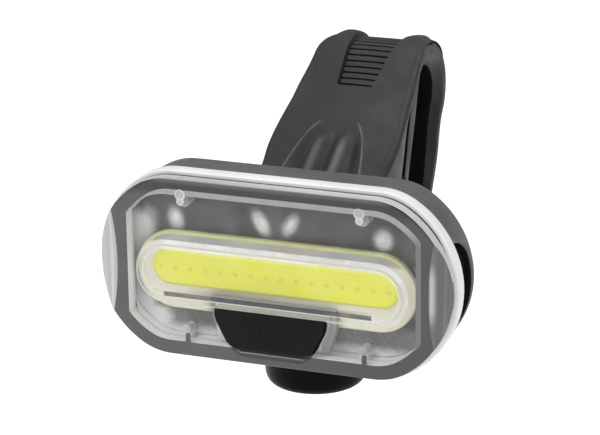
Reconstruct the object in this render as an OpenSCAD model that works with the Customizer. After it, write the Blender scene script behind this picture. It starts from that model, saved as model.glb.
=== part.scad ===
// Bicycle headlight with a strip light source and a flexible handlebar loop.
// Millimetres. +X runs along the handlebar, -Y is the way the beam points and +Z is up.
// The origin is the middle of the handlebar loop.

/* [Lamp body] */
// Length of the lamp along X, at the pale ring
lamp_l = 74.4; // [70:0.2:80]
// Height of the lamp, at the pale ring
lamp_h = 37.5; // [36:0.5:42]
// Length of the straight top and bottom edges
flat_l = 42; // [38:1:46]
// Radius of the rounded corners
corner_r = 13; // [11:0.5:15]
// Depth of the pale ring
ring_t = 3.1; // [2.5:0.1:4]
// Depth of the rear housing's rim, from its mouth to its rear edge
rim_t = 9; // [8:0.5:11]
// Draft of the rear housing's rim
rim_draft = 0.8; // [0.4:0.1:1.2]
// Wall of the rear housing
wall = 1.7; // [1.4:0.1:2.2]
// Length of the pry slot in the housing's end
pry_l = 16; // [10:1:20]
// Width of the pry slot
pry_w = 3; // [2:0.5:4]
// Depth of the pry slot
pry_t = 1.1; // [0.8:0.1:1.3]

/* [Lens cover] */
// Depth of the clear cover, from its face to the pale ring
lens_t = 3.2; // [3:0.1:4]
// Thickness of the clear front plate
plate_t = 1.8; // [1.4:0.1:2]
// Step from the pale ring in to the cover's edge
lens_step = 0.75; // [0.5:0.05:1]
// Width of the cover's solid rim
rim_w = 2.9; // [2.4:0.1:3.4]
// Length of the flat front face, between the slanted end facets
face_l = 65; // [62:0.5:67]
// Length of the clear window
window_l = 59.8; // [58.4:0.2:60.4]
// Length of the raised strip window
strip_l = 54.6; // [53:0.2:56]
// Height of the raised strip window
strip_h = 11.5; // [10.5:0.1:11.8]
// How far the strip window stands proud
strip_rise = 1.8; // [1.2:0.1:2.2]
// Wall of the strip window
strip_wall = 1.2; // [1:0.1:1.4]
// Drop of the light strip below the lamp's middle
strip_drop = 1; // [0.5:0.1:1.5]
// Distance between the clear pegs, along X
peg_span = 36.8; // [34:0.2:38]
// Distance of the clear pegs from the window's edge
peg_in = 0.6; // [0.3:0.1:1]
// Diameter of a clear peg
peg_d = 2.6; // [2.4:0.1:2.8]

/* [Light source] */
// Length of the light board
board_l = 58; // [56:0.5:58.5]
// Height of the light board
board_h = 15; // [14:0.5:16]
// Thickness of the light board
board_t = 1.2; // [1:0.1:1.4]
// Length of the yellow phosphor strip
cob_l = 50.7; // [48:0.1:51]
// Height of the yellow phosphor strip
cob_h = 6.8; // [6:0.1:7.4]
// Thickness of the yellow phosphor strip
cob_t = 0.7; // [0.5:0.1:0.7]
// Thickness of the inner tray
tray_t = 1.2; // [1:0.1:1.4]

/* [Button] */
// Width of the button at its top edge
btn_top_w = 22.8; // [20:0.2:24]
// Width of the button at its lower edge
btn_low_w = 16.8; // [14:0.2:18]
// Distance from the window's lower edge up to the button
btn_in = 0.15; // [0.1:0.05:0.5]
// Height of the button's upright sides
btn_side = 2.1; // [1.5:0.1:3]
// Radius of the button's lower corners
btn_r = 1.4; // [1:0.1:2]
// How far the button stands proud of the front face
btn_proud = 0.7; // [0.4:0.1:1]
// Travel of the button
btn_travel = 0.6; // [0.4:0.05:0.6]

/* [Cells] */
// Diameter of a cell
cell_d = 10.5; // [10:0.1:10.6]
// Length of a cell
cell_l = 44.5; // [43.5:0.1:44.6]
// Distance between the two cells
cell_pitch = 11.2; // [11:0.1:11.4]
// Room for the contacts at each end of the cells
contact_l = 4.2; // [3.6:0.1:4.6]
// Thickness of the contact plates
contact_t = 0.4; // [0.3:0.05:0.5]

/* [Swivel] */
// Distance of the swivel axis behind the front face
swivel_y = 24; // [23.6:0.1:25]
// Diameter of the swivel bolt
bolt_d = 4; // [3.5:0.5:5]
// Diameter of the lamp's swivel barrel
barrel_d = 10.4; // [9.6:0.2:10.8]
// Top of the swivel barrel, above the lamp's middle
barrel_up = 7; // [5:0.5:8]
// How far the swivel barrel reaches below the cell bay
barrel_over = 0.15; // [0:0.05:0.3]
// Thickness of the fork's upper arm
arm_top_t = 3.3; // [2.6:0.1:3.6]
// Room between the lamp's lower edge and the knob
knob_room = 0.45; // [0.4:0.05:1]
// Thickness of the fork's spine
spine_t = 4; // [3.4:0.1:4.2]
// Width of the fork's spine
spine_w = 20; // [16:0.5:24]
// Diameter of the clamping knob
knob_d = 20.4; // [18:0.2:22]
// Height of the clamping knob
knob_h = 10.3; // [10:0.1:13]
// Rounding of the knob's lower edge
knob_r = 5; // [2:0.5:6]

/* [Handlebar loop] */
// Distance of the loop's middle behind the swivel axis
bar_back = 35.2; // [34.8:0.1:37]
// Height of the loop's middle above the lamp's middle
bar_z = 15; // [14.8:0.1:17]
// Backward lean of the loop
loop_lean = 43; // [42:0.5:44]
// Width of the loop's slot
slot_w = 15.8; // [15:0.2:18]
// Top of the slot, above the loop's middle
slot_up = 16; // [14:0.5:20]
// Foot of the slot, below the loop's middle
slot_down = 16.9; // [16.5:0.1:17.5]
// Thickness of the strap's front run
band_front = 4.5; // [4:0.1:5]
// Thickness of the strap's rear run
band_rear = 2.4; // [2:0.1:3]
// Thickness of the strap over the top
band_top = 3; // [2.5:0.1:3.5]
// Width of the strap at the top
band_top_w = 20.8; // [19:0.2:23]
// Width of the strap at its lower end
band_low_w = 27.6; // [26:0.2:30]
// How far the strap's rear run is drawn in, on each side
rear_in = 0.5; // [0:0.1:1]
// Thickness of the base's hood in front of the strap's upper arc
hood_t = 2.2; // [1.8:0.1:2.6]
// Forward slope of the hood's front
hood_slope = 14.8; // [13:0.2:16]
// Distance from the loop's middle down to the hood's brow
brow_down = 23.5; // [22:0.1:24]
// Thickness of the hood at its foot, under the brow
wedge_t = 4.8; // [4:0.1:5.5]
// Half the width of the arched recess in the hood
arch_w = 8; // [7:0.2:9]
// Depth of the arched recess
arch_t = 1.5; // [1.2:0.1:2]
// Distance from the loop's middle down to the arched recess's top
arch_top = 9; // [7:0.5:10]
// Distance of the recess's two ridges from the middle
ridge_x = 2.7; // [2.4:0.1:3.2]
// Number of grip ribs over the top of the strap
rib_n = 14; // [8:1:15]
// Distance between the grip ribs
rib_pitch = 1.6; // [1.4:0.1:1.7]
// Depth of the grooves between the ribs
rib_t = 0.9; // [0.6:0.1:1.2]
// Distance from the fold to the eye of the strap's tail
tail_l = 15.2; // [14.6:0.1:15.4]
// Radius of the tail's round tip
tip_r = 4; // [3.6:0.1:4.2]
// Diameter of the hook peg
hook_d = 3; // [2.6:0.1:3.2]

/* [Clearances] */
// Room between pieces that move past each other
gap = 0.3; // [0.25:0.05:0.35]
// Room around a shaft, on the radius
fit = 0.05; // [0.03:0.01:0.08]
// Room around a piece that is dropped into its seat
seat = 0.1; // [0.05:0.01:0.15]

/* [Hidden] */
$fn = 64;
eps = 0.01;
cut = 1;

// Steps of an outline's arcs
arc_n = 8;

// Depths of the front unit, measured back from the front face
ring_y = lens_t;
ring_back = ring_y + ring_t;
groove_t = 0.4;
window_in = lens_step + rim_w;
peg_z = lamp_h / 2 - window_in - peg_d / 2 - peg_in;
lip_t = 2;
tray_y = ring_back - tray_t - seat;
tray_back = tray_y + tray_t;
board_back = tray_y - board_t;
board_y = board_back - board_t;
cob_y = board_y - cob_t;

// Depths of the rear housing
mouth_y = ring_back + gap;
rim_back = mouth_y + rim_t;
mouth_in = 0.35;
edge_r = 1.5;
housing_in = mouth_in + wall;
cell_y = tray_back + gap + seat + cell_d / 2;
bay_back = cell_y + cell_d / 2 + seat;
bulge_back = bay_back + wall;
bay_x = cell_l / 2 + contact_l;
bay_z = (cell_pitch + cell_d) / 2 + seat;
bulge_x = bay_x + wall;
bulge_z = bay_z + wall;
bulge_r = 4;
bay_r = 0.8;

// Button and switch
btn_top_z = -strip_drop - strip_h / 2 - gap;
btn_low_z = window_in + btn_in - lamp_h / 2;
btn_h = btn_top_z - btn_low_z;
flange_w = 0.8;
flange_t = 0.35;
flange_room = 0.15;
flange_y = plate_t + flange_room;
btn_back = flange_y + flange_t;
switch_z = (btn_top_z + btn_low_z) / 2;
driver_t = 1;
driver_w = 22;
driver_y = tray_y - driver_t;
switch_w = 4.5;
switch_t = 0.9;
switch_y = driver_y - switch_t;
plunger_r = 0.9;
plunger_t = 0.25;
notch_room = 0.5;
board_notch_w = btn_top_w + 2 * (flange_w + gap + notch_room);
board_notch_z = btn_top_z + flange_w + gap;
driver_in = 0.6;
driver_h = board_notch_z - gap - btn_low_z - driver_in;

// Pale posts on the tray
stake_xs = [-20.8, -3.4, 3.4, 20.8];
stake_over = 2.5;
stake_z = board_h / 2 - strip_drop + stake_over;
stake_r = 1.1;
stake_t = 1.4;

// Screws through the tray into the clear pegs
screw_d = 1.5;
screw_head_d = 2.8;
screw_head_t = 0.9;

// Contacts between the lamp's two halves
tab_w = 1.6;
tab_z = 1.8;
tab_x = bay_x - contact_t - gap - contact_t / 2;
stud_r = 2;
contact_in = 1;
nub_t = 0.8;
nub_d = 3.8;
spring_wire = 0.35;
spring_r = 2.6;
spring_n = 6;
spring_step = (contact_l - contact_t - seat - 2 * spring_wire) / (spring_n - 1);
spring_taper = 0.12;

// Swivel
bush_wall = 0.95;
bush_r = bolt_d / 2 + fit + bush_wall;
barrel_down = bulge_z + barrel_over;
knob_top = -lamp_h / 2 - knob_room;
knob_low = knob_top - knob_h;
arm_top_z = barrel_up + gap;
arm_top_r = swivel_y - bulge_back - gap;
arm_low_z = knob_top + gap;
arm_low_t = -barrel_down - gap - arm_low_z;
arm_low_r = swivel_y - rim_back - gap;
washer_t = 0.6;
washer_w = 2.4;
washer_r = bolt_d / 2 + washer_w;
bolt_head_w = 1.6;
bolt_head_r = bolt_d / 2 + bolt_head_w;
bolt_head_t = 1.4;
insert_wall = 1.2;
insert_r = bolt_d / 2 + insert_wall;
insert_h = 6.5;
insert_floor = 1;
bolt_low = knob_top - insert_h + insert_floor;
spine_y = swivel_y + barrel_d / 2 + gap;
spine_top = arm_top_z + arm_top_t;
bar_y = swivel_y + bar_back;

// Loop, in its own leaning frame: Y is back across the slot and Z is up along it
slot_r = slot_w / 2;
slot_arc = slot_up - slot_r;
outer_r = (slot_w + band_front + band_rear) / 2;
outer_y = (band_rear - band_front) / 2;
band_peak = slot_up + band_top;
outer_arc = band_peak - outer_r;
front_y = -slot_r - band_front;
wedge_sink = 1.4;
wedge_heel = 2;
wedge_top_z = spine_top - wedge_sink - bar_z;
wedge_low = (wedge_top_z + (front_y - wedge_t) * sin(loop_lean)) / cos(loop_lean);
wedge_end_y = bar_y + (front_y - wedge_heel) * cos(loop_lean) + wedge_low * sin(loop_lean);
neck_l = max(spine_t, wedge_end_y - spine_y);
base_grow = 0.3;
seam_z = 2;
taper_low = -19;
foot_t = 2.1;
foot_low = gap - slot_down;
foot_top = foot_low + foot_t;
fold_y = slot_r + band_rear / 2;
fold_z = -slot_down - band_rear / 2;
eye_y = fold_y - tail_l;
eye_room = 0.9;
eye_r = hook_d / 2 + eye_room;
hook_over = 0.6;
hook_l = gap + band_rear + hook_over;
crown_over = 0.4;
crown_r = (outer_r + crown_over) / (1 - sin(hood_slope));
arch_r = (arch_w * arch_w + arch_t * arch_t) / (2 * arch_t);
ridge_r = 1.6;
ridge_top = -arch_top - 5;
rib_gap = 0.5;
rib_start = 2.4;
rib_low_w = 7.8;
rib_top_w = 12;

// Points of an arc about c, with its end points only where they are asked for
function arc(c, r, from, to, first, last) =
  [for (i = [first:last]) c + r * [cos(from + (to - from) * i / arc_n), sin(from + (to - from) * i / arc_n)]];

// The lamp's outline, seen from the front and drawn in by inset
function lamp_outline(inset) =
  let (rc = corner_r - inset)
  let (cx = flat_l / 2)
  let (cz = lamp_h / 2 - corner_r)
  let (d = lamp_l / 2 - inset - cx)
  let (end_r = (rc * rc - d * d - cz * cz) / (2 * (rc - d)))
  let (ex = lamp_l / 2 - inset - end_r)
  let (turn = atan2(cz, cx - ex))
  concat(
    arc([ex, 0], end_r, -turn, turn, 1, arc_n - 1),
    arc([cx, cz], rc, turn, 90, 0, arc_n),
    arc([-cx, cz], rc, 90, 180 - turn, 0, arc_n),
    arc([-ex, 0], end_r, 180 - turn, 180 + turn, 1, arc_n - 1),
    arc([-cx, -cz], rc, 180 + turn, 270, 0, arc_n),
    arc([cx, -cz], rc, 270, 360 - turn, 0, arc_n)
  );

// Front surface of the hood, across the loop's frame, at height z
function hood_y(z) =
  front_y - hood_t - (outer_arc - z) * tan(hood_slope);

// Half the strap's width at height z of the loop's frame
function band_half(z) =
  let (share = min(1, (band_peak - z) / (band_peak - taper_low)))
  (band_top_w + (band_low_w - band_top_w) * share) / 2;

// Middle of the arc that carries the hood's slope over the top
crown = [hood_y(outer_arc) + crown_r * cos(hood_slope), outer_arc - crown_r * sin(hood_slope)];

// Length of the sloping stretch of ribs below that arc
rib_run = (outer_arc - rib_start) / cos(hood_slope);

// Places the lamp, whose own origin is the middle of its front face
module lamp_frame() {
  translate([0, -bar_y, -bar_z])
    children();
}

// Places the leaning loop
module loop_frame() {
  rotate([-loop_lean, 0, 0])
    children();
}

// Extrudes a shape seen from the front between two depths
module face_slab(from, to) {
  translate([0, to, 0])
    rotate([90, 0, 0])
      linear_extrude(to - from)
        children();
}

// Extrudes a shape seen from the side, to a width along X
module side_slab(width) {
  rotate([90, 0, 90])
    linear_extrude(width, center = true)
      children();
}

// The lamp's outline as a slab between two depths
module lamp_slab(inset, from, to) {
  face_slab(from, to)
    polygon(lamp_outline(inset));
}

// A strip with round ends, by its length and height
module strip(length, height) {
  square([length - height, height], center = true);
  for (side = [-1, 1])
    translate([side * (length - height) / 2, 0])
      circle(d = height);
}

// A rectangle with round corners, by half sizes
module soft_box(half_x, half_z, r) {
  square([2 * half_x, 2 * (half_z - r)], center = true);
  square([2 * (half_x - r), 2 * half_z], center = true);
  for (x = [-1, 1], z = [-1, 1])
    translate([x * (half_x - r), z * (half_z - r)])
      circle(r);
}

// A round bar along Y between two depths
module rod_y(r, from, to) {
  translate([0, to, 0])
    rotate([90, 0, 0])
      cylinder(r = r, h = to - from);
}

// A round bar along X, centred
module rod_x(r, length) {
  rotate([0, 90, 0])
    cylinder(r = r, h = length, center = true);
}

// Puts a copy at each clear peg
module at_pegs() {
  for (x = [-1, 1], z = [-1, 1])
    translate([x * peg_span / 2, 0, z * peg_z])
      children();
}

// The button's outline, grown by an even margin, with its arcs at the lower corners
module button_shape(grow) {
  half_top = btn_top_w / 2 + grow;
  half_low = btn_low_w / 2 + grow;
  top = btn_top_z + grow;
  low = btn_low_z - grow;
  polygon([
    [half_top, top],
    [-half_top, top],
    [-half_top, btn_top_z - btn_side],
    [-half_low - btn_r / 2, low + btn_r],
    [-half_low + btn_r / 2, low],
    [half_low - btn_r / 2, low],
    [half_low + btn_r / 2, low + btn_r],
    [half_top, btn_top_z - btn_side]
  ]);
}

// The clear window's outline
module window_shape() {
  intersection() {
    polygon(lamp_outline(window_in));
    square([window_l, lamp_h], center = true);
  }
}

module lens_cover() {
  color("gainsboro", 0.45)
    lamp_frame()
      difference() {
        union() {
          // Block whose ends slant back from the flat face to the rounded outline
          hull() {
            face_slab(0, eps)
              intersection() {
                polygon(lamp_outline(lens_step));
                square([face_l, lamp_h], center = true);
              }
            lamp_slab(lens_step, lens_t - groove_t - eps, lens_t - groove_t);
          }
          lamp_slab(lens_step + groove_t, lens_t - groove_t - eps, lens_t);
          translate([0, 0, -strip_drop])
            face_slab(-strip_rise, plate_t)
              strip(strip_l, strip_h);
        }
        face_slab(plate_t, lens_t + cut)
          difference() {
            window_shape();
            for (x = [-1, 1], z = [-1, 1])
              translate([x * peg_span / 2, z * peg_z])
                circle(d = peg_d);
          }
        translate([0, 0, -strip_drop])
          face_slab(strip_wall - strip_rise, lens_t)
            strip(strip_l - 2 * strip_wall, strip_h - 2 * strip_wall);
        face_slab(-cut, lens_t)
          button_shape(gap);
        at_pegs()
          rod_y(screw_d / 2, plate_t, lens_t + cut);
      }
}

module seal_ring() {
  color("white")
    lamp_frame()
      difference() {
        union() {
          lamp_slab(0, ring_y, ring_back);
          lamp_slab(housing_in + gap, ring_back - eps, ring_back + lip_t);
        }
        lamp_slab(window_in, ring_y - cut, ring_back + lip_t + cut);
      }
}

module inner_tray() {
  color("dimgray")
    lamp_frame()
      difference() {
        union() {
          lamp_slab(window_in + seat, tray_y, tray_back);
          face_slab(board_back, tray_y + eps)
            board_shape();
          at_pegs()
            rod_y(peg_d / 2, lens_t, tray_y + eps);
        }
        at_pegs()
          rod_y(screw_d / 2, lens_t - cut, tray_back + cut);
        for (side = [-1, 1])
          translate([tab_x, tray_y, side * tab_z])
            cube([contact_t + 2 * seat, 4 * tray_t, tab_w + 2 * seat], center = true);
      }
}

// Short pale posts on the tray, above the light board
module tray_stakes() {
  color("whitesmoke")
    lamp_frame()
      for (x = stake_xs)
        translate([x, 0, stake_z])
          rod_y(stake_r, tray_y - stake_t, tray_y);
}

module tray_screws() {
  color("silver")
    lamp_frame()
      at_pegs() {
        rod_y(screw_d / 2, plate_t + seat, tray_back + eps);
        rod_y(screw_head_d / 2, tray_back, tray_back + screw_head_t);
      }
}

// The light board's outline, notched above the button
module board_shape() {
  difference() {
    translate([0, -strip_drop])
      strip(board_l, board_h);
    translate([-board_notch_w / 2, board_notch_z - board_h])
      square([board_notch_w, board_h]);
  }
}

module led_board() {
  color("lemonchiffon")
    lamp_frame()
      face_slab(board_y, board_back)
        board_shape();
}

module cob_phosphor() {
  color("gold")
    lamp_frame()
      translate([0, 0, -strip_drop])
        face_slab(cob_y, board_y)
          strip(cob_l, cob_h);
}

module driver_board() {
  color("seagreen")
    lamp_frame()
      translate([-driver_w / 2, driver_y, btn_low_z + driver_in])
        cube([driver_w, driver_t, driver_h]);
}

module tact_switch() {
  color("black")
    lamp_frame()
      translate([0, 0, switch_z]) {
        translate([-switch_w / 2, switch_y, -switch_w / 2])
          cube([switch_w, switch_t, switch_w]);
        rod_y(plunger_r, switch_y - plunger_t, switch_y + eps);
      }
}

// Sprung tabs that carry current from the cell contacts through the tray
module power_tabs() {
  color("goldenrod")
    lamp_frame()
      for (side = [-1, 1])
        translate([tab_x - contact_t / 2, tray_y, side * tab_z - tab_w / 2])
          cube([contact_t, tray_t + lip_t, tab_w]);
}

module power_button() {
  color("#222222")
    lamp_frame()
      difference() {
        union() {
          face_slab(-btn_proud, btn_back)
            button_shape(0);
          face_slab(flange_y, btn_back)
            intersection() {
              button_shape(flange_w);
              translate([-lamp_l / 2, btn_low_z + gap])
                square([lamp_l, btn_h + flange_w]);
            }
        }
        translate([0, 0, switch_z])
          rod_y(plunger_r + gap, switch_y - plunger_t - btn_travel - fit, btn_back + cut);
      }
}

module rear_housing() {
  color("dimgray")
    lamp_frame()
      difference() {
        union() {
          // Rim with draft and a bevelled rear edge
          hull() {
            lamp_slab(mouth_in, mouth_y, mouth_y + eps);
            lamp_slab(mouth_in + rim_draft, rim_back - edge_r, rim_back - edge_r + eps);
            lamp_slab(mouth_in + rim_draft + edge_r, rim_back - eps, rim_back);
          }
          face_slab(rim_back - cut, bulge_back)
            soft_box(bulge_x, bulge_z, bulge_r);
          translate([0, swivel_y, -barrel_down])
            cylinder(d = barrel_d, h = barrel_up + barrel_down);
          translate([-barrel_d / 2, bulge_back - cut, -barrel_down])
            cube([barrel_d, swivel_y - bulge_back + cut, barrel_up + barrel_down]);
        }
        lamp_slab(housing_in, mouth_y - cut, rim_back - wall);
        face_slab(rim_back - wall - cut, bay_back)
          soft_box(bay_x, bay_z, bay_r);
        // Pry slot at the right-hand end
        face_slab(mouth_y - cut, mouth_y + pry_w)
          difference() {
            translate([0, -pry_l / 2])
              square([lamp_l, pry_l]);
            polygon(lamp_outline(mouth_in + pry_t));
          }
        translate([0, swivel_y, -barrel_down - cut])
          cylinder(r = bush_r, h = barrel_up + barrel_down + 2 * cut);
      }
}

// A cell along X with its raised contact at the end that way gives
module cell(way) {
  rotate([0, way * 90, 0])
    translate([0, 0, -cell_l / 2]) {
      cylinder(d = cell_d, h = cell_l - nub_t);
      cylinder(d = nub_d, h = cell_l);
    }
}

module battery_upper() {
  color("slategray")
    lamp_frame()
      translate([0, cell_y, cell_pitch / 2])
        cell(1);
}

module battery_lower() {
  color("slategray")
    lamp_frame()
      translate([0, cell_y, -cell_pitch / 2])
        cell(-1);
}

// Coils that press on each cell's flat end
module contact_springs() {
  color("silver")
    lamp_frame()
      for (side = [-1, 1])
        translate([side * (bay_x - contact_t), cell_y, -side * cell_pitch / 2])
          rotate([0, -side * 90, 0])
            for (turn = [0:spring_n - 1])
              translate([0, 0, spring_wire + turn * spring_step])
                rotate_extrude()
                  translate([spring_r - turn * spring_taper, 0])
                    circle(spring_wire, $fn = 16);
}

// Raised contact for a cell's nub, at the end and the cell that side gives
module contact_stud(side) {
  stud_l = contact_l - contact_t - seat;
  translate([side * (bay_x - contact_t - stud_l / 2), cell_y, side * cell_pitch / 2])
    rod_x(stud_r, stud_l + eps);
}

// Flat contacts at the right-hand end of the cells, one for each
module contact_plates() {
  color("silver")
    lamp_frame() {
      for (side = [-1, 1])
        translate([bay_x - contact_t / 2, cell_y, side * cell_pitch / 2])
          cube([contact_t, cell_d - 2 * contact_in, cell_d - 2 * contact_in], center = true);
      contact_stud(1);
    }
}

// One plate at the left-hand end that joins both cells
module contact_bridge() {
  color("silver")
    lamp_frame() {
      translate([contact_t / 2 - bay_x, cell_y, 0])
        cube([contact_t, cell_d - 2 * contact_in, cell_pitch + cell_d - 2 * contact_in], center = true);
      contact_stud(-1);
    }
}

module pivot_bush() {
  color("darkgoldenrod")
    lamp_frame()
      translate([0, swivel_y, -barrel_down])
        difference() {
          cylinder(r = bush_r, h = barrel_up + barrel_down);
          translate([0, 0, -cut])
            cylinder(r = bolt_d / 2 + fit, h = barrel_up + barrel_down + 2 * cut);
        }
}

// The strap's tapering width, grown by an even margin
module taper_shape(grow) {
  heights = [wedge_low, taper_low, band_peak + eps];
  polygon(concat(
    [for (z = heights) [band_half(z) + grow, z]],
    [for (i = [len(heights) - 1:-1:0]) [-band_half(heights[i]) - grow, heights[i]]]
  ));
}

// Cuts what it is given to the strap's width, which narrows upwards and to the rear
module strap_taper(grow) {
  intersection() {
    children();
    hull() {
      face_slab(hood_y(-brow_down) - cut, hood_y(-brow_down))
        taper_shape(grow);
      face_slab(slot_r + band_rear, slot_r + band_rear + cut)
        taper_shape(grow - rear_in);
    }
  }
}

// One arm of the fork, round about the swivel and joined to the spine
module fork_arm(r, z, t) {
  translate([0, swivel_y, z]) {
    cylinder(r = r, h = t);
    translate([-r, 0, 0])
      cube([2 * r, spine_y + spine_t - swivel_y, t]);
  }
}

// Places the hood's sloping front, as the plane across Y, with Z up along it
module hood_frame() {
  translate([0, hood_y(0), 0])
    rotate([-hood_slope, 0, 0])
      children();
}

// Shallow dish with an arched upper end, cut into the hood's front
module arch_recess() {
  translate([0, arch_t - arch_r, -arch_top - arch_w]) {
    sphere(arch_r);
    translate([0, 0, -brow_down])
      cylinder(r = arch_r, h = brow_down);
  }
}

// Round ridge that stands in the recess, level with the hood's front
module arch_ridge() {
  translate([0, ridge_r, -brow_down]) {
    cylinder(r = ridge_r, h = ridge_top + brow_down);
    translate([0, 0, ridge_top + brow_down])
      sphere(ridge_r);
  }
}

module mount_base() {
  color("#333333")
    difference() {
      union() {
        loop_frame() {
          difference() {
            strap_taper(base_grow)
              side_slab(2 * band_low_w)
                polygon([
                  [front_y, seam_z],
                  [hood_y(seam_z), seam_z],
                  [hood_y(-brow_down), -brow_down],
                  [front_y - wedge_t, wedge_low],
                  [front_y - wedge_heel, wedge_low],
                  [front_y, foot_low]
                ]);
            hood_frame()
              arch_recess();
          }
          hood_frame()
            for (side = [-1, 1])
              translate([side * ridge_x, 0, 0])
                arch_ridge();
          // Foot that closes the strap's front run, with the hook peg under it
          translate([-band_low_w / 4, front_y - cut, foot_low])
            cube([band_low_w / 2, eye_y + eye_r - front_y + cut, foot_t]);
          translate([0, eye_y, foot_low - hook_l])
            cylinder(d = hook_d, h = hook_l + cut);
        }
        lamp_frame() {
          translate([-spine_w / 2, spine_y, arm_low_z])
            cube([spine_w, spine_t, spine_top - arm_low_z]);
          translate([-spine_w / 2, spine_y, arm_top_z])
            cube([spine_w, neck_l, arm_top_t]);
          fork_arm(arm_top_r, arm_top_z, arm_top_t);
          fork_arm(arm_low_r, arm_low_z, arm_low_t);
        }
      }
      lamp_frame()
        translate([0, swivel_y, arm_low_z - cut])
          cylinder(r = bolt_d / 2 + fit, h = spine_top - arm_low_z + 2 * cut);
      // Room under the brow for the bolt's head
      lamp_frame()
        translate([0, swivel_y, spine_top])
          cylinder(r = washer_r + gap, h = washer_t + bolt_head_t + gap);
    }
}

module pivot_bolt() {
  color("silver")
    lamp_frame()
      translate([0, swivel_y, 0]) {
        translate([0, 0, bolt_low])
          cylinder(d = bolt_d, h = spine_top + washer_t - bolt_low + eps);
        translate([0, 0, spine_top + washer_t])
          cylinder(r = bolt_head_r, h = bolt_head_t);
      }
}

module pivot_washer() {
  color("gray")
    lamp_frame()
      translate([0, swivel_y, spine_top])
        difference() {
          cylinder(r = washer_r, h = washer_t);
          translate([0, 0, -cut])
            cylinder(r = bolt_d / 2 + fit, h = washer_t + 2 * cut);
        }
}

module pivot_knob() {
  color("#1a1a1a")
    lamp_frame()
      translate([0, swivel_y, knob_low])
        difference() {
          rotate_extrude() {
            translate([0, knob_r])
              square([knob_d / 2, knob_h - knob_r]);
            square([knob_d / 2 - knob_r, knob_h]);
            translate([knob_d / 2 - knob_r, knob_r])
              intersection() {
                circle(knob_r);
                translate([0, -knob_r])
                  square(knob_r);
              }
          }
          translate([0, 0, knob_h - insert_h])
            cylinder(r = insert_r, h = insert_h + cut);
        }
}

module knob_insert() {
  color("goldenrod")
    lamp_frame()
      translate([0, swivel_y, knob_top - insert_h])
        difference() {
          cylinder(r = insert_r, h = insert_h);
          translate([0, 0, insert_floor - fit])
            cylinder(r = bolt_d / 2 + fit, h = insert_h);
        }
}

// Places a groove between two grip ribs, at a length along the ribbed path
module at_rib(s) {
  z = rib_start + s * cos(hood_slope);
  turn = 180 - hood_slope - (s - rib_run) / crown_r * 180 / PI;
  if (s < rib_run)
    translate([0, hood_y(z), z])
      rotate([180 - hood_slope, 0, 0])
        children();
  else
    translate([0, crown[0] + crown_r * cos(turn), crown[1] + crown_r * sin(turn)])
      rotate([turn, 0, 0])
        children();
}

module strap_band() {
  color("#2b2b2b")
    loop_frame()
      difference() {
        strap_taper(0)
          side_slab(2 * band_low_w)
            difference() {
              union() {
                translate([outer_y, outer_arc])
                  circle(outer_r);
                translate([front_y, foot_low])
                  square([outer_r, outer_arc - foot_low]);
                translate([0, gap - slot_down])
                  square([slot_r + band_rear, outer_arc + slot_down - gap]);
                polygon([
                  [front_y, outer_arc],
                  [hood_y(outer_arc), outer_arc],
                  [hood_y(seam_z), seam_z],
                  [front_y, seam_z]
                ]);
                // Thicker front of the top, which carries the ribs
                intersection() {
                  translate(crown)
                    circle(crown_r);
                  translate([crown[0] - crown_r, outer_arc - eps])
                    square(crown_r);
                }
              }
              translate([0, slot_arc])
                circle(slot_r);
              translate([-slot_r, -2 * slot_down])
                square([slot_w, slot_arc + 2 * slot_down]);
            }
        // Room for the base's foot
        translate([-band_low_w / 4, front_y - cut, foot_low - cut])
          cube([band_low_w / 2, band_front + 2 * cut, foot_t + cut]);
        for (i = [0:rib_n - 1])
          at_rib(i * rib_pitch)
            cube([rib_low_w + (rib_top_w - rib_low_w) * i / rib_n, 2 * rib_t, rib_gap], center = true);
      }
}

module strap_tail() {
  color("#2b2b2b")
    loop_frame()
      difference() {
        union() {
          translate([0, 0, -slot_down - band_rear])
            linear_extrude(band_rear) {
              polygon([
                [band_half(fold_z) - rear_in, fold_y],
                [tip_r, eye_y],
                [-tip_r, eye_y],
                [rear_in - band_half(fold_z), fold_y]
              ]);
              translate([0, eye_y])
                circle(tip_r);
            }
          translate([0, fold_y, fold_z])
            rod_x(band_rear / 2, 2 * (band_half(fold_z) - rear_in));
        }
        translate([0, eye_y, -slot_down - band_rear - cut])
          cylinder(r = eye_r, h = band_rear + 2 * cut);
      }
}

lens_cover();
seal_ring();
inner_tray();
tray_stakes();
tray_screws();
led_board();
cob_phosphor();
driver_board();
tact_switch();
power_tabs();
power_button();
rear_housing();
battery_upper();
battery_lower();
contact_springs();
contact_plates();
contact_bridge();
pivot_bush();
mount_base();
pivot_bolt();
pivot_washer();
pivot_knob();
knob_insert();
strap_band();
strap_tail();
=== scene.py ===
import math

import bmesh
import bpy
from mathutils import Matrix, Vector


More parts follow.
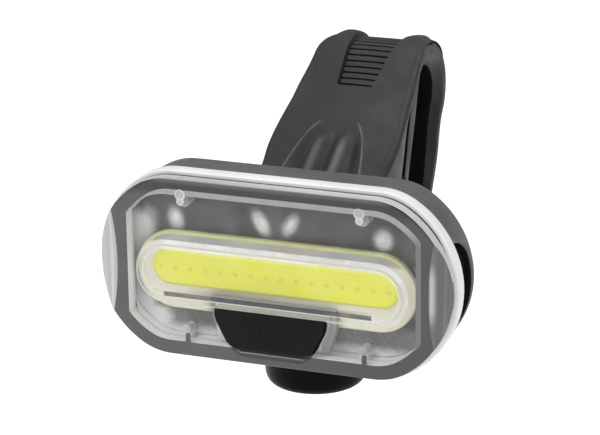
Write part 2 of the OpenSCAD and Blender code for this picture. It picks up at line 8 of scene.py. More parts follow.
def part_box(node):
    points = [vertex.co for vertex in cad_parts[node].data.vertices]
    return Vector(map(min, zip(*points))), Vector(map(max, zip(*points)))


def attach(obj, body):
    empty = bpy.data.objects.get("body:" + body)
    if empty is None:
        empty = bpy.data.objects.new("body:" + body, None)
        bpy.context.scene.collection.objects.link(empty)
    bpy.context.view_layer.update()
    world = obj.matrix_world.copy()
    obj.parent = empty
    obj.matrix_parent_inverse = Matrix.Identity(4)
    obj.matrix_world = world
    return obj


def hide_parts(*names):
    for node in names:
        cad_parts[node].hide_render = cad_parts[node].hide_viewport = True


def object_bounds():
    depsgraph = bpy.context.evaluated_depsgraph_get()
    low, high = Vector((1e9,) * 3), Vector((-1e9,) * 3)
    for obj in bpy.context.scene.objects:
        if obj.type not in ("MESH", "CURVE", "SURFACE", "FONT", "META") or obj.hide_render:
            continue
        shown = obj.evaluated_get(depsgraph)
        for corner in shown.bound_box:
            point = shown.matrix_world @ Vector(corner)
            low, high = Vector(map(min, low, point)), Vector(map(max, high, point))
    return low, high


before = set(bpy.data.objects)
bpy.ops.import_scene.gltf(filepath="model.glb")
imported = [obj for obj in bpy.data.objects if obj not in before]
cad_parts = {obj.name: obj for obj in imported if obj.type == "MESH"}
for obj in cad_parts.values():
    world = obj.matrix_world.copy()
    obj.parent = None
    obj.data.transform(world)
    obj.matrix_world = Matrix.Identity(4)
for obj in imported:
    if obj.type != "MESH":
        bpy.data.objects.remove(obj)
cad_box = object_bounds()

# Sizes are in millimetres and angles in degrees, unless a name says otherwise
MM = 0.001

# Lamp: its outline is read from the frame, and its own origin is the middle of its front face
RING_LOW, RING_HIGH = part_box("seal_ring")
LAMP_L = (RING_HIGH.x - RING_LOW.x) / MM
LAMP_H = (RING_HIGH.z - RING_LOW.z) / MM
LENS_T = 3.2
LAMP = Vector((0, RING_LOW.y - LENS_T * MM, (RING_LOW.z + RING_HIGH.z) / 2))
FLAT_L = 42
CORNER_R = 13
LENS_STEP = 0.75
WINDOW_IN = 3.65
WINDOW_HALF = 29.9
FACE_HALF, FACE_BOW = 32.1, 0.01
PLATE_T = 1.8
GROOVE, GROOVE_W = 0.06, 0.8
STRIP_DROP = 1
STRIP_L, STRIP_H, STRIP_RISE, STRIP_ROOF, STRIP_WALL = 54.6, 11.5, 1.8, 1.2, 0.6
STRIP_STRAIGHT = (STRIP_L - STRIP_H) / 2
STRIP_STEPS = (3, 2.35, 1.4, 1.0)
PILL_FOOT, PILL_SHADE = 0.75, 3.6
GLINT_LOW, GLINT_HIGH = 0.05, 0.3
FACET_FROM, SIDE_FROM, EDGE_FRONT, PLATE_IN = 0.03, 0.15, 0.08, 0.25
ON_FACE = 0.02
# Widths of the painted highlight round the window, inside and outside its edge
HIGHLIGHT_IN, HIGHLIGHT_OUT = 0.35, 0.8
TAB_X, TAB_HALF, TAB_TOP = (-17.4, 19.2), 0.45, -13.3
TAB_SINK, TICK, TICK_UP = 0.3, (0.18, 0.5, 0.1), 1.85
RING_BACK = 6.3
LIP_T = 2
MOUTH_Y, RIM_BACK, BULGE_BACK = 6.6, 15.6, 18.9
MOUTH_IN, RIM_DRAFT, WALL = 0.35, 0.5, 1.7
BAY_X, BAY_Z, BAY_R, BAY_BACK = 26.45, 10.95, 0.8, 17.2
BULGE_R = 4
PRY_L, PRY_W, PRY_T, PRY_R = 17.4, 5.6, 1.4, 4.5
PEG_X, PEG_Z, PEG_R = 18.4, 13.2, (0.9, 1.3)
BEAD_X, BEAD_Z, BEAD_R, HEAD_Z, HEAD_R = 18.35, 13.5, 0.75, 14.9, 1.1
BEAD_STEPS = ((0.55, -0.12), (0.75, -0.1), (1.0, 0.0), (1.0, 0.3))
TRAY_Y, TRAY_BACK = 5.0, 6.2
POST_SHARE, POST_UP, POST_RISE = 0.5, 0.3, 0.3
BOARD_Y, BOARD_BACK = 2.6, 3.8
BOARD_L, BOARD_H, BOARD_DROP = 58, 15.8, 1.35
COB_Y, COB_L, COB_H, COB_DROP = 1.9, 51, 7.3, 0.75
CHIP_PITCH, CHIP_IN, CHIP_OUT = 3.15, 0.25, 0.7
BTN_TOP_Z, BTN_LOW_Z = -7.05, -14.95
BTN_TOP_W, BTN_LOW_W, BTN_SIDE = 22.8, 16.8, 2.1
BTN_PROUD, BTN_BACK = 0.7, 2.2
MARK_R, MARK_HALF, MARK_RISE = 2.3, 0.26, 0.1
SKIRT_W, SKIRT_SPREAD = 1.25, 0.7
NOTCH_HALF_W, NOTCH_Z = 13, -5.95
GAP = 0.3
SKIRT_BACK = (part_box("driver_board")[0].y - LAMP.y) / MM - 0.05
SWIVEL_Y = 24
BARREL_R, BARREL_UP, BARREL_DOWN = 5.2, 7, 12.8
BUSH_R = 3
SPINE_Y, SPINE_T, SPINE_W = 29.5, 4, 20
ARM_TOP_Z, ARM_TOP_T, ARM_TOP_R = 7.3, 3.3, 4.8
ARM_LOW_Z, ARM_LOW_T, ARM_LOW_R = -18.9, 5.8, 8.1
BOLT_HOLE_R = 2.05
KNOB_TOP, KNOB_H, KNOB_R, KNOB_EDGE = -19.2, 10.3, 10.6, 5.4

# Handlebar loop, in its own leaning frame: v is back across the slot and u is up along it
LEAN = 43
LEAN_COS, LEAN_SIN = math.cos(math.radians(LEAN)), math.sin(math.radians(LEAN))
SLOT_R, SLOT_ARC, SLOT_DOWN = 7.9, 8.1, 16.9
BAND_FRONT, BAND_TOP, BAND_REAR = 4.5, 3.0, 2.4
FRONT_HALF, FRONT_FLARE = 9.95, 0.14
REAR_HALF, REAR_FLARE, REAR_GROW = 10.5, 0.085, 0.55
LIP_IN, LIP_RISE = 1.7, 2.2
SEAM_LOW, SEAM_TOP, SEAM_DEPTH = 1.3, 0.45, 0.9
HOOD_LOW, BROW_U, BROW_Z = -24.5, -23.2, 12.75
HOOD_RISE, HOOD_SLOPE = 6.6, 0.265
HOOD_TOP, HOOD_TOP_TURN, HOOD_END_TURN = 4.0, 105, 62
HOOD_HALF, HOOD_FLARE, HOOD_HALF_MAX = 12.5, 0.065, 13.9
CHEEK_X, CHEEK_IN, CHEEK_OUT = 7.6, 0.3, 1.2
BASE_GROW = -0.25
RIB_START, RIB_FIRST, RIB_PITCH, RIB_GAP, RIB_DEPTH = -0.1, 0.5, 1.6, 0.46, 0.6
CHANNEL_LOW, CHANNEL_TOP, CHANNEL_DEPTH, CHANNEL_END = 3.65, 5.7, 0.9, 27.8
ARCH_TOP, ARCH_FOOT, ARCH_HALF, ARCH_DEPTH = -8.7, -23, 8.25, 1.0
RIDGE_X, RIDGE_W, RIDGE_RISE, RIDGE_SHIFT = 2.7, 1.5, 1.2, 0.4
ARCH_RIM, ARCH_RIM_W = 0.2, 0.28
CHANNEL_L, CHANNEL_ROUND = 20, 0.8
SHOULDER_GROW, FOOT_TAPER, BROW_TAPER, TOP_TAPER = 0.35, 0.5, 2.2, 1.75
SAG_FRONT, SAG_TOP, EDGE_DROP = 1.0, 0.6, 1.2
CREASE_LOW, CREASE_HIGH, CREASE_TOP = 1.3, 2.4, 3.0
FLANK_IN = 2.6
FOOT_LOW, FOOT_TOP, FOOT_HALF = -16.6, -14.5, 6.9
FOLD_V, FOLD_U = 9.1, -18.1
TAIL_L, TIP_R, EYE_R, HOOK_R = 15.2, 4, 2.4, 1.5
EYE_V = FOLD_V - TAIL_L

# Shares of painted highlight and painted shade on the hood
FLANK_HIGHLIGHT, RIM_HIGHLIGHT, RIDGE_HIGHLIGHT, CHANNEL_SHADE, ARCH_SHADE = 0.55, 0.8, 0.72, 0.85, 0.7

# Counts of points along an outline's stretches, round a circle and across the tray
END_N, CORNER_N, FLAT_N = 28, 16, 14
ROUND_N, KNOB_N, TRAY_COLUMNS, TRAY_ROWS = 32, 96, 130, 64


def lamp_point(x, y, z):
    return LAMP + Vector((x, y, z)) * MM


def swivel_point(x, y, z):
    return lamp_point(x, SWIVEL_Y + y, z)


def loop_point(x, v, u):
    return Vector((x, v * LEAN_COS + u * LEAN_SIN, u * LEAN_COS - v * LEAN_SIN)) * MM


def smooth(low, high, value):
    """0 below low, 1 above high, and an even S between them."""
    t = clamp((value - low) / (high - low))
    return t * t * (3 - 2 * t)


def clamp(t):
    return min(1, max(0, t))


def bell(distance, width):
    """1 at no distance, and less on both sides."""
    return math.exp(-(distance / width) ** 2)


def lerp(a, b, t):
    return a + (b - a) * t


def spread(a, b, count):
    """Values from a to b in count even steps, with both ends."""
    return [lerp(a, b, k / count) for k in range(count + 1)]


def arc(cx, cz, r, start, stop, count):
    """count points of an arc, without its last end."""
    turns = [math.radians(t) for t in spread(start, stop, count)[:-1]]
    return [(cx + r * math.cos(t), cz + r * math.sin(t)) for t in turns]


def circle(cx, cz, r, count=ROUND_N):
    return arc(cx, cz, r, 0, 360, count)


def run(a, b, count):
    """count points of a straight stretch, without its last end."""
    return [(lerp(a[0], b[0], i / count), lerp(a[1], b[1], i / count)) for i in range(count)]


def outline(right, corner, flat_x, flat_z):
    """A closed outline from its right-hand end and upper right corner, mirrored to the other sides."""
    top = run((flat_x, flat_z), (-flat_x, flat_z), FLAT_N)
    low = run((-flat_x, -flat_z), (flat_x, -flat_z), FLAT_N)
    returning = [(flat_x, flat_z)] + corner[:0:-1]
    upper_left = [(-x, z) for x, z in returning]
    lower_left = [(-x, -z) for x, z in right + corner]
    lower_right = [(x, -z) for x, z in returning]
    return right + corner + top + upper_left + lower_left + low + lower_right


def lamp_outline(inset):
    """The lamp's outline, drawn in by inset."""
    r = CORNER_R - inset
    cx, cz = FLAT_L / 2, LAMP_H / 2 - CORNER_R
    d = LAMP_L / 2 - inset - cx
    end_r = (r * r - d * d - cz * cz) / (2 * (r - d))
    ex = LAMP_L / 2 - inset - end_r
    turn = math.degrees(math.atan2(cz, cx - ex))
    right = arc(ex, 0, end_r, -turn, turn, END_N)
    corner = arc(cx, cz, r, turn, 90, CORNER_N)
    return outline(right, corner, cx, cz + r)


def strip_outline(length, height, drop=STRIP_DROP):
    """A strip with round ends, below the lamp's middle by drop."""
    r, cx = height / 2, (length - height) / 2
    right = arc(cx, 0, r, -30, 30, END_N)
    corner = arc(cx, 0, r, 30, 90, CORNER_N)
    return [(x, z - drop) for x, z in outline(right, corner, cx, r)]


def box_outline(half_x, half_z, r):
    """A rectangle with round corners."""
    cx, cz = half_x - r, half_z - r
    right = run((half_x, -cz), (half_x, cz), END_N)
    corner = arc(cx, cz, r, 0, 90, CORNER_N)
    return outline(right, corner, cx, half_z)


def outline_half(points, z):
    """Half the width of an outline at a height."""
    best = 0
    for (ax, az), (bx, bz) in zip(points, points[1:] + points[:1]):
        if az != bz and min(az, bz) <= z <= max(az, bz):
            best = max(best, lerp(ax, bx, (z - az) / (bz - az)))
    return best


def cut_outline(inset, limit):
    """The lamp's outline with its ends cut back to a limit that depends on the height."""
    full = lamp_outline(inset)
    quarter = full[END_N // 2:END_N + CORNER_N + 1]
    k = next((k for k, (x, z) in enumerate(quarter) if x < limit(z)), 0)
    start = 2.0
    if k:
        a, b = (x - limit(z) for x, z in quarter[k - 1:k + 1])
        start = max(start, k - 1 + a / (a - b))
    corner = []
    for i in range(CORNER_N):
        at = lerp(start, len(quarter) - 1, i / CORNER_N)
        j = min(int(at), len(quarter) - 2)
        corner.append(tuple(lerp(p, q, at - j) for p, q in zip(quarter[j], quarter[j + 1])))
    top = corner[0][1]
    right = [(min(limit(z), outline_half(full, z)), z) for z in spread(-top, top, END_N)[:-1]]
    return outline(right, corner, *quarter[-1])


def ring(points, y):
    return [lamp_point(x, y, z) for x, z in points]


def strip_ring(inset, y, length=STRIP_L, height=STRIP_H, drop=STRIP_DROP):
    """A ring of a strip with round ends, drawn in by inset."""
    return ring(strip_outline(length - 2 * inset, height - 2 * inset, drop), y)


def box_rings(profile, half_x, half_z, r, least_r):
    """Rings of a box with round corners, drawn in along a profile."""
    return [ring(box_outline(half_x - i, half_z - i, max(least_r, r - i)), y) for i, y in profile]


def bend(start, corner, stop, steps):
    """Points of a round corner from start to stop."""
    shares = spread(0, 1, steps)
    return [start * (1 - t) ** 2 + corner * 2 * t * (1 - t) + stop * t * t for t in shares]


def fillet(points, radii, steps=5):
    """An open polyline with each inner corner rounded by its radius."""
    result = [Vector(points[0])]
    for a, b, c, r in zip(points, points[1:], points[2:], radii):
        a, b, c = Vector(a), Vector(b), Vector(c)
        reach = min(r, (a - b).length * 0.49, (c - b).length * 0.49)
        start, stop = b + (a - b).normalized() * reach, b + (c - b).normalized() * reach
        result += bend(start, b, stop, steps)
    return result + [Vector(points[-1])]


def closed_fillet(points, radii, steps=5):
    """A closed polyline with each corner rounded by its radius."""
    return [tuple(p) for p in fillet([points[-1], *points, points[0]], radii, steps)[1:-1]]


def bar_outline(half, low, high, radii, x=0):
    """A rectangle about x, with its corners rounded in turn from the lower right one."""
    return closed_fillet([(x + half, low), (x + half, high), (x - half, high), (x - half, low)], radii)


def mesh_object(name, vertices, faces, materials, indices=None, sharp=35):
    """A mesh with its normals outward and its edges sharp above an angle."""
    mesh = bpy.data.meshes.new(name)
    mesh.from_pydata(vertices, [], faces)
    for material in materials:
        mesh.materials.append(material)
    if indices:
        mesh.polygons.foreach_set("material_index", indices)
    bm = bmesh.new()
    bm.from_mesh(mesh)
    bmesh.ops.remove_doubles(bm, verts=bm.verts, dist=1e-7)
    bmesh.ops.recalc_face_normals(bm, faces=bm.faces)
    bm.to_mesh(mesh)
    bm.free()
    mesh.shade_smooth()
    mesh.set_sharp_from_angle(angle=math.radians(sharp))
    item = bpy.data.objects.new(name, mesh)
    bpy.context.collection.objects.link(item)
    return item


class Skin:
    """Gathers closed skins of rings, each with a material number for each band."""

    def __init__(self):
        self.vertices, self.faces, self.indices = [], [], []

    def add(self, rings, numbers=0, loop=False):
        count = len(rings[0])
        base = len(self.vertices)
        for one in rings:
            self.vertices.extend(one)
        bands = len(rings) if loop else len(rings) - 1
        if callable(numbers):
            pick = numbers
        else:
            pick = lambda band, i: numbers if isinstance(numbers, int) else numbers[band]
        for band in range(bands):
            a, b = base + band * count, base + (band + 1) % len(rings) * count
            for i in range(count):
                j = (i + 1) % count
                self.faces.append((a + i, a + j, b + j, b + i))
                self.indices.append(pick(band, i))
        if not loop:
            self.faces.append(tuple(range(base + count - 1, base - 1, -1)))
            self.indices.append(pick(0, 0))
            last = base + bands * count
            self.faces.append(tuple(range(last, last + count)))
            self.indices.append(pick(bands - 1, 0))
        return self

    def make(self, name, materials, sharp=35):
        return mesh_object(name, self.vertices, self.faces, materials, self.indices, sharp)


def pierced(skin, wide, r, low, high, place):
    """Adds a plate with a round hole about its middle, whose points place puts in the frame."""
    bore = [(r * x / math.hypot(x, y), r * y / math.hypot(x, y)) for x, y in wide]
    stack = ((bore, low), (wide, low), (wide, high), (bore, high))
    return skin.add([[place(x, y, h) for x, y in shape] for shape, h in stack], loop=True)


def paint(item, name, share):
    """Gives each point of a mesh a painted share, worked out from its place in millimetres."""
    values = [share(vertex.co / MM) for vertex in item.data.vertices]
    item.data.attributes.new(name, "FLOAT", "POINT").data.foreach_set("value", values)


def settle(item, body, slot, *nodes):
    """Puts a piece on its body and hides the nodes that it stands for; the finish named by slot is not used.
    """
    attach(item, body)
    if nodes:
        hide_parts(*nodes)
    return item


# Materials

class Nodes:
    """A material's node tree, with short calls to add and link nodes."""

    def __init__(self, name):
        self.material = bpy.data.materials.new(name)
        self.material.use_nodes = True
        self.tree = self.material.node_tree
        self.shader = self.tree.nodes["Principled BSDF"]

    def add(self, kind, **values):
        node = self.tree.nodes.new(kind)
        for key, value in values.items():
            setattr(node, key, value)
        return node

    def link(self, source, target):
        self.tree.links.new(source, target)

    def set(self, **values):
        for key, value in values.items():
            self.shader.inputs[key.replace("_", " ")].default_value = value
        return self

    def place(self):
        return self.add("ShaderNodeTexCoord").outputs["Object"]

    def axes(self):
        split = self.add("ShaderNodeSeparateXYZ")
        self.link(self.place(), split.inputs[0])
        return split.outputs

    def painted(self, name):
        return self.add("ShaderNodeAttribute", attribute_name=name).outputs["Fac"]

    def noise(self, scale, detail=3, place=None):
        node = self.add("ShaderNodeTexNoise")
        node.inputs["Scale"].default_value = scale
        node.inputs["Detail"].default_value = detail
        self.link(place or self.place(), node.inputs["Vector"])
        return node.outputs["Fac"]

    def streak(self, scale):
        """Noise that is drawn out along an axis."""
        stretched = self.add("ShaderNodeMapping")
        stretched.inputs["Scale"].default_value = scale
        self.link(self.place(), stretched.inputs["Vector"])
        return self.noise(1.0, place=stretched.outputs["Vector"])

    def soften(self, noise, start=0.0, stop=1.0):
        """A share between two values from noise."""
        return self.ramp(noise, 0.3, 0.7, start, stop)

    def cloud(self, scale, detail=3, start=0.0, stop=1.0):
        return self.soften(self.noise(scale, detail), start, stop)

    def ramp(self, source, low, high, start=0.0, stop=1.0):
        node = self.add("ShaderNodeMapRange", clamp=True)
        node.interpolation_type = "SMOOTHSTEP"
        for key, value in zip(("From Min", "From Max", "To Min", "To Max"), (low, high, start, stop)):
            node.inputs[key].default_value = value
        self.link(source, node.inputs["Value"])
        return node.outputs["Result"]

    def math(self, operation, a, b=None):
        node = self.add("ShaderNodeMath", operation=operation)
        for socket, value in zip(node.inputs, (a, b)):
            if isinstance(value, (int, float)):
                socket.default_value = value
            elif value is not None:
                self.link(value, socket)
        return node.outputs[0]

    def times(self, a, b):
        return self.math("MULTIPLY", a, b)

    def mix(self, factor, a, b):
        node = self.add("ShaderNodeMix", data_type="RGBA")
        self.link(factor, node.inputs["Factor"])
        for socket, value in zip((node.inputs[6], node.inputs[7]), (a, b)):
            if isinstance(value, tuple):
                socket.default_value = value
            else:
                self.link(value, socket)
        return node.outputs[2]

    def grain(self, scale, depth):
        """A fine uneven surface."""
        node = self.add("ShaderNodeBump")
        node.inputs["Distance"].default_value = depth
        self.link(self.noise(scale, 2), node.inputs["Height"])
        self.link(node.outputs["Normal"], self.shader.inputs["Normal"])

    def colour(self, socket):
        self.link(socket, self.shader.inputs["Base Color"])

    def rough(self, socket):
        self.link(socket, self.shader.inputs["Roughness"])


def grey(value, alpha=1.0):
    """A linear colour from an sRGB level of 0 to 255."""
    level = value / 255
    linear = level / 12.92 if level <= 0.04045 else ((level + 0.055) / 1.055) ** 2.4
    return (linear, linear, linear, alpha)


def tone(r, g, b):
    return (grey(r)[0], grey(g)[0], grey(b)[0], 1.0)


def moulded(name, low, high, rough=(0.35, 0.5), grain=2600, depth=0.00002, cloud=60, **values):
    """Moulded plastic or rubber: a cloudy colour, a fine grain and uneven gloss."""
    n = Nodes(name).set(**values)
    n.colour(n.mix(n.cloud(cloud, 4), low, high))
    n.rough(n.cloud(cloud * 3, 3, *rough))
    n.grain(grain, depth)
    return n.material


def see_through(name, colour, low, high, slant, rough=0.06):
    """Clear plastic: open when it is faced, paler at a slant, with a faint uneven haze."""
    n = Nodes(name).set(Base_Color=colour, Roughness=rough, IOR=1.46)
    weight = n.add("ShaderNodeLayerWeight")
    weight.inputs["Blend"].default_value = 0.3
    haze = n.ramp(n.noise(160, 3), 0.35, 0.7, low, high)
    gloss = n.times(weight.outputs["Fresnel"], slant)
    # Light passes through it to the pieces behind
    path = n.add("ShaderNodeLightPath")
    passing = n.math("MAXIMUM", path.outputs["Is Shadow Ray"], path.outputs["Is Diffuse Ray"])
    seen = n.math("MINIMUM", n.math("ADD", haze, gloss), 1.0)
    n.link(n.times(seen, n.math("SUBTRACT", 1.0, passing)), n.shader.inputs["Alpha"])
    return n.material


def level(n, axis, low, high):
    """A share that runs between two places along an axis of the lamp."""
    middle = LAMP["XYZ".index(axis)]
    return n.ramp(n.axes()[axis], low * MM + middle, high * MM + middle)


def within(n, axis, low, full, fade, high):
    """A share that is full between two places along an axis, and fades out on both sides."""
    return n.times(level(n, axis, low, full), level(n, axis, high, fade))


def rim_plastic():
    """Smoked rim of the cover: painted light to the left, painted shade along the top, a painted highlight at
    the upper edge.
    """
    n = Nodes("smoked_rim").set(Coat_Weight=0.4, Coat_Roughness=0.08)
    cloud = n.cloud(130, 4)
    left, right = n.mix(cloud, grey(72), grey(82)), n.mix(cloud, grey(54), grey(64))
    # Painted light: paler to the left than to the right
    body = n.mix(level(n, "X", -30, 20), left, right)
    # Painted shade along the rim's top
    body = n.mix(level(n, "Z", 13.5, 15.8), body, n.mix(cloud, grey(28), grey(42)))
    # Painted highlight along the rim's upper edge
    n.colour(n.mix(level(n, "Z", 16.7, 18.0), body, grey(96)))
    n.rough(n.cloud(130, 4, 0.24, 0.34))
    return n.material


def window_highlight():
    """Painted highlight along the window's edge, which dulls down the right-hand side."""
    n = Nodes("window_highlight").set(Coat_Weight=0.5)
    share = n.times(level(n, "Z", 9, 13.5), n.ramp(n.noise(240, 3), 0.2, 0.6, 0.75, 1.0))
    n.colour(n.mix(share, grey(108), grey(158)))
    n.rough(n.cloud(300, 2, 0.2, 0.35))
    return n.material


def seam_shade():
    """Painted shade in the seam between the cover and the ring: dark along the top, pale at the ends."""
    n = Nodes("seam_shade").set(Roughness=0.55, Specular_IOR_Level=0.2)
    dark = n.mix(n.cloud(60, 4), grey(58), grey(70))
    n.colour(n.mix(level(n, "Z", 6.5, 11.5), grey(196), dark))
    return n.material


def facet_plastic():
    """Slanted ends of the cover: upright streaks of painted reflection, the left-hand one painted paler, a
    painted highlight on the right-hand one.
    """
    n = Nodes("smoked_facet").set(Coat_Weight=0.5, Coat_Roughness=0.06)
    streak = n.streak((900, 900, 26))
    share = n.ramp(streak, 0.35, 0.7)
    # Painted reflection: upright streaks, and the left-hand end paler than the right
    right, left = n.mix(share, grey(86), grey(112)), n.mix(share, grey(178), grey(206))
    body = n.mix(level(n, "X", -30, -31), right, left)
    # Painted highlight on the right-hand end, near its inner edge
    inner = within(n, "X", FACE_HALF, FACE_HALF + 0.4, FACE_HALF + 0.5, FACE_HALF + 1.7)
    middle = within(n, "Z", -7, -2, 3, 7.5)
    n.colour(n.mix(n.times(inner, middle), body, grey(184)))
    n.rough(n.soften(streak, 0.2, 0.32))
    return n.material


def tray_plastic():
    """Grey tray whose edges and posts fade to white, by the painted share in its points."""
    n = Nodes("tray_plastic").set(Roughness=0.45)
    share = n.painted("white")
    speckle = n.times(n.math("SUBTRACT", n.noise(1500, 3), 0.5), 0.35)
    inside = n.times(share, n.math("SUBTRACT", 1.0, share))
    edge = n.math("ADD", share, n.times(inside, n.times(speckle, 4.0)))
    body = n.mix(n.cloud(90), grey(56), grey(67))
    n.colour(n.mix(n.ramp(edge, 0.0, 1.0), body, grey(236)))
    n.grain(1500, 0.00002)
    return n.material


def board_paint(name, scale, split, body, top):
    """Pale paint of the light board, in two tones that meet between two heights."""
    n = Nodes(name).set(Roughness=0.4)
    cloud = n.cloud(scale)
    n.colour(n.mix(level(n, "Z", *split), n.mix(cloud, *body), n.mix(cloud, *top)))
    return n.material


def board_mask():
    """Pale board, which looks greyer over its upper part."""
    body, top = (tone(210, 208, 184), tone(222, 220, 202)), (tone(150, 151, 146), tone(166, 167, 160))
    return board_paint("cream_board", 120, (3.6, 4.6), body, top)


def board_border():
    """Thin border of the board, yellower along its top."""
    body, top = (tone(212, 210, 172), tone(222, 220, 190)), (tone(182, 183, 112), tone(196, 197, 134))
    return board_paint("board_border", 200, (2.0, 5.0), body, top)


def phosphor():
    """Yellow silicone over a row of chips, which show as faint darker dots."""
    n = Nodes("phosphor").set(Roughness=0.4)
    axes = n.axes()
    half = CHIP_PITCH * MM / 2
    along = n.math("SUBTRACT", n.math("PINGPONG", axes["X"], half), half)
    across = n.math("SUBTRACT", axes["Z"], LAMP.z - COB_DROP * MM)
    square = n.math("ADD", n.times(along, along), n.times(across, across))
    dot = n.ramp(n.math("SQRT", square), CHIP_IN * MM, CHIP_OUT * MM, 1.0, 0.0)
    base = n.mix(n.cloud(110), tone(219, 219, 52), tone(227, 228, 66))
    n.colour(n.mix(n.times(dot, 0.35), base, tone(170, 170, 60)))
    n.grain(900, 0.00002)
    return n.material


def rubber(name):
    """Uneven satin rubber, without its colour."""
    n = Nodes(name).set(Specular_IOR_Level=0.35)
    n.rough(n.cloud(180, 3, 0.5, 0.64))
    n.grain(2200, 0.00003)
    return n


def strap_rubber():
    """Rubber of the strap, with painted shade that darkens it towards its rear."""
    n = rubber("strap_rubber")
    axes = n.axes()
    back = n.math("SUBTRACT", n.times(axes["Y"], LEAN_COS), n.times(axes["Z"], LEAN_SIN))
    cloud = n.cloud(60, 4)
    # Painted shade: the rear run darker than the front
    front, rear = n.mix(cloud, grey(48), grey(60)), n.mix(cloud, grey(22), grey(30))
    n.colour(n.mix(n.ramp(back, -2 * MM, 7 * MM), front, rear))
    return n.material


def hood_rubber():
    """Rubber of the hood, with painted highlights and painted shade from the share painted in its points."""
    n = rubber("hood_rubber")
    share = n.painted("painted_light")
    body = n.mix(n.cloud(60, 4), grey(40), grey(50))
    pale = n.mix(n.ramp(share, 0.0, 1.0), body, grey(100))
    n.colour(n.mix(n.ramp(share, 0.0, -1.0), pale, grey(16)))
    return n.material


def metal(name, low, high, rough):
    """Bare metal with fine streaks."""
    n = Nodes(name).set(Metallic=1.0)
    streak = n.streak((40, 700, 700))
    n.colour(n.mix(n.soften(streak), low, high))
    n.rough(n.soften(streak, rough, rough + 0.15))
    return n.material


CLEAR = see_through("clear_plastic", grey(238), 0.015, 0.045, 0.55)
# Painted glint: pale clear plastic for the bright edges, bead rims and ticks
GLINT = see_through("clear_glint", grey(240), 0.35, 0.6, 0.5)
SHADE = see_through("shaded_edge", grey(48), 0.7, 0.9, 0.1)
BEAD = see_through("clear_peg", grey(190), 0.45, 0.65, 0.5)
RIM = rim_plastic()
# Painted highlight along the window's edge
HIGHLIGHT = window_highlight()
SIDE = moulded("pale_side", grey(176), grey(202), (0.2, 0.3), depth=0.000003, cloud=40, Coat_Weight=0.4)
FACET = facet_plastic()
EDGE = moulded("pale_edge", grey(200), grey(222), (0.15, 0.3), depth=0.000004, Coat_Weight=0.4)
SEAM_SHADE = seam_shade()
SKIRT = moulded("button_skirt", grey(136), grey(158), (0.3, 0.4), depth=0.000004)
OPENING = moulded("opening_wall", grey(160), grey(186), (0.2, 0.3), depth=0.000004)
WHITE = moulded("white_plastic", grey(228), grey(238), (0.3, 0.4), depth=0.000008)
HOUSING = moulded("grey_plastic", grey(82), grey(94), (0.4, 0.55), Specular_IOR_Level=0.35)
BLACK = moulded("black_plastic", grey(24), grey(32), (0.35, 0.5), Specular_IOR_Level=0.3)
# Painted shade for the pry slot's inside, the strap's inner face and its seam groove
RECESS_SHADE = moulded("recess_shade", grey(14), grey(20), (0.6, 0.7), Specular_IOR_Level=0.05)
BUTTON = moulded("button_rubber", grey(24), grey(30), (0.5, 0.62), Specular_IOR_Level=0.08)
ICON = moulded("button_mark", grey(14), grey(18), (0.3, 0.4), Specular_IOR_Level=0.1)
KNOB = moulded("knob_plastic", grey(4), grey(8), (0.3, 0.42), Specular_IOR_Level=0.06)
STRAP = strap_rubber()
HOOD = hood_rubber()
TRAY = tray_plastic()
MASK = board_mask()
BORDER = board_border()
COB = phosphor()
POST = moulded("pale_post", grey(226), grey(240), (0.5, 0.6))
GREEN = moulded("green_board", tone(24, 84, 56), tone(30, 98, 66), (0.3, 0.45))
CELL = moulded("cell_jacket", tone(52, 60, 70), tone(62, 70, 82), (0.25, 0.35), grain=900)
STEEL = metal("plated_steel", grey(190), grey(214), 0.22)
DULL = metal("dull_steel", grey(96), grey(120), 0.4)
BRASS = metal("brass", tone(186, 150, 76), tone(206, 170, 92), 0.25)

# Materials of the cover, in the order of their numbers
COVER = [CLEAR, RIM, SIDE, FACET, HIGHLIGHT, GLINT, SHADE, EDGE, SEAM_SHADE, BEAD]


# Lamp pieces

def normals(points):
    """Outward directions of a closed outline that runs anticlockwise."""
    result = []
    for i in range(len(points)):
        (ax, az), (bx, bz) = points[i - 1], points[(i + 1) % len(points)]
        size = math.hypot(bx - ax, bz - az)
        result.append(((bz - az) / size, (ax - bx) / size))
    return result


def shifted(points, reach):
    """A closed outline moved outward by a reach that depends on its direction."""
    result = []
    for (x, z), (nx, nz) in zip(points, normals(points)):
        far = reach(nx, nz)
        result.append((x + nx * far, z + nz * far))
    return result


def inset_outline(points, inset):
    """A closed outline drawn in by an even inset."""
    return shifted(points, lambda nx, nz: -inset)


def highlight_share(nx, nz):
    """Share of the painted highlight on the window's edge: full at the top and right, none at the left and
    bottom.
    """
    return clamp(0.95 * nz + 0.9 * nx)


def strip_front(step):
    """Front of the raised strip window, with a painted shade line along its foot and painted highlights on
    its edges.
    """
    front = -STRIP_RISE
    pill = strip_outline(STRIP_L, STRIP_H)
    low = [z + STRIP_DROP < -PILL_SHADE and abs(x) < STRIP_STRAIGHT + 0.01 for x, z in pill]

    def foot(i):
        return SHADE if low[i] and low[(i + 1) % len(low)] else CLEAR

    for inset, band in zip(STRIP_STEPS, (CLEAR, foot, CLEAR, CLEAR)):
        step(strip_ring(inset, front), band)
    wall = [(0.9, front), (0, front), (0, -PILL_FOOT), (-PILL_FOOT, 0), (-1.2, 0)]
    for inset, y in fillet(wall, [0.5, 0.2, 0.2], 3):
        bright = -PILL_FOOT < inset < -GLINT_LOW or GLINT_LOW < inset < GLINT_HIGH
        step(strip_ring(inset, y), GLINT if bright else CLEAR)


def window_outline():
    return cut_outline(WINDOW_IN, lambda z: WINDOW_HALF)


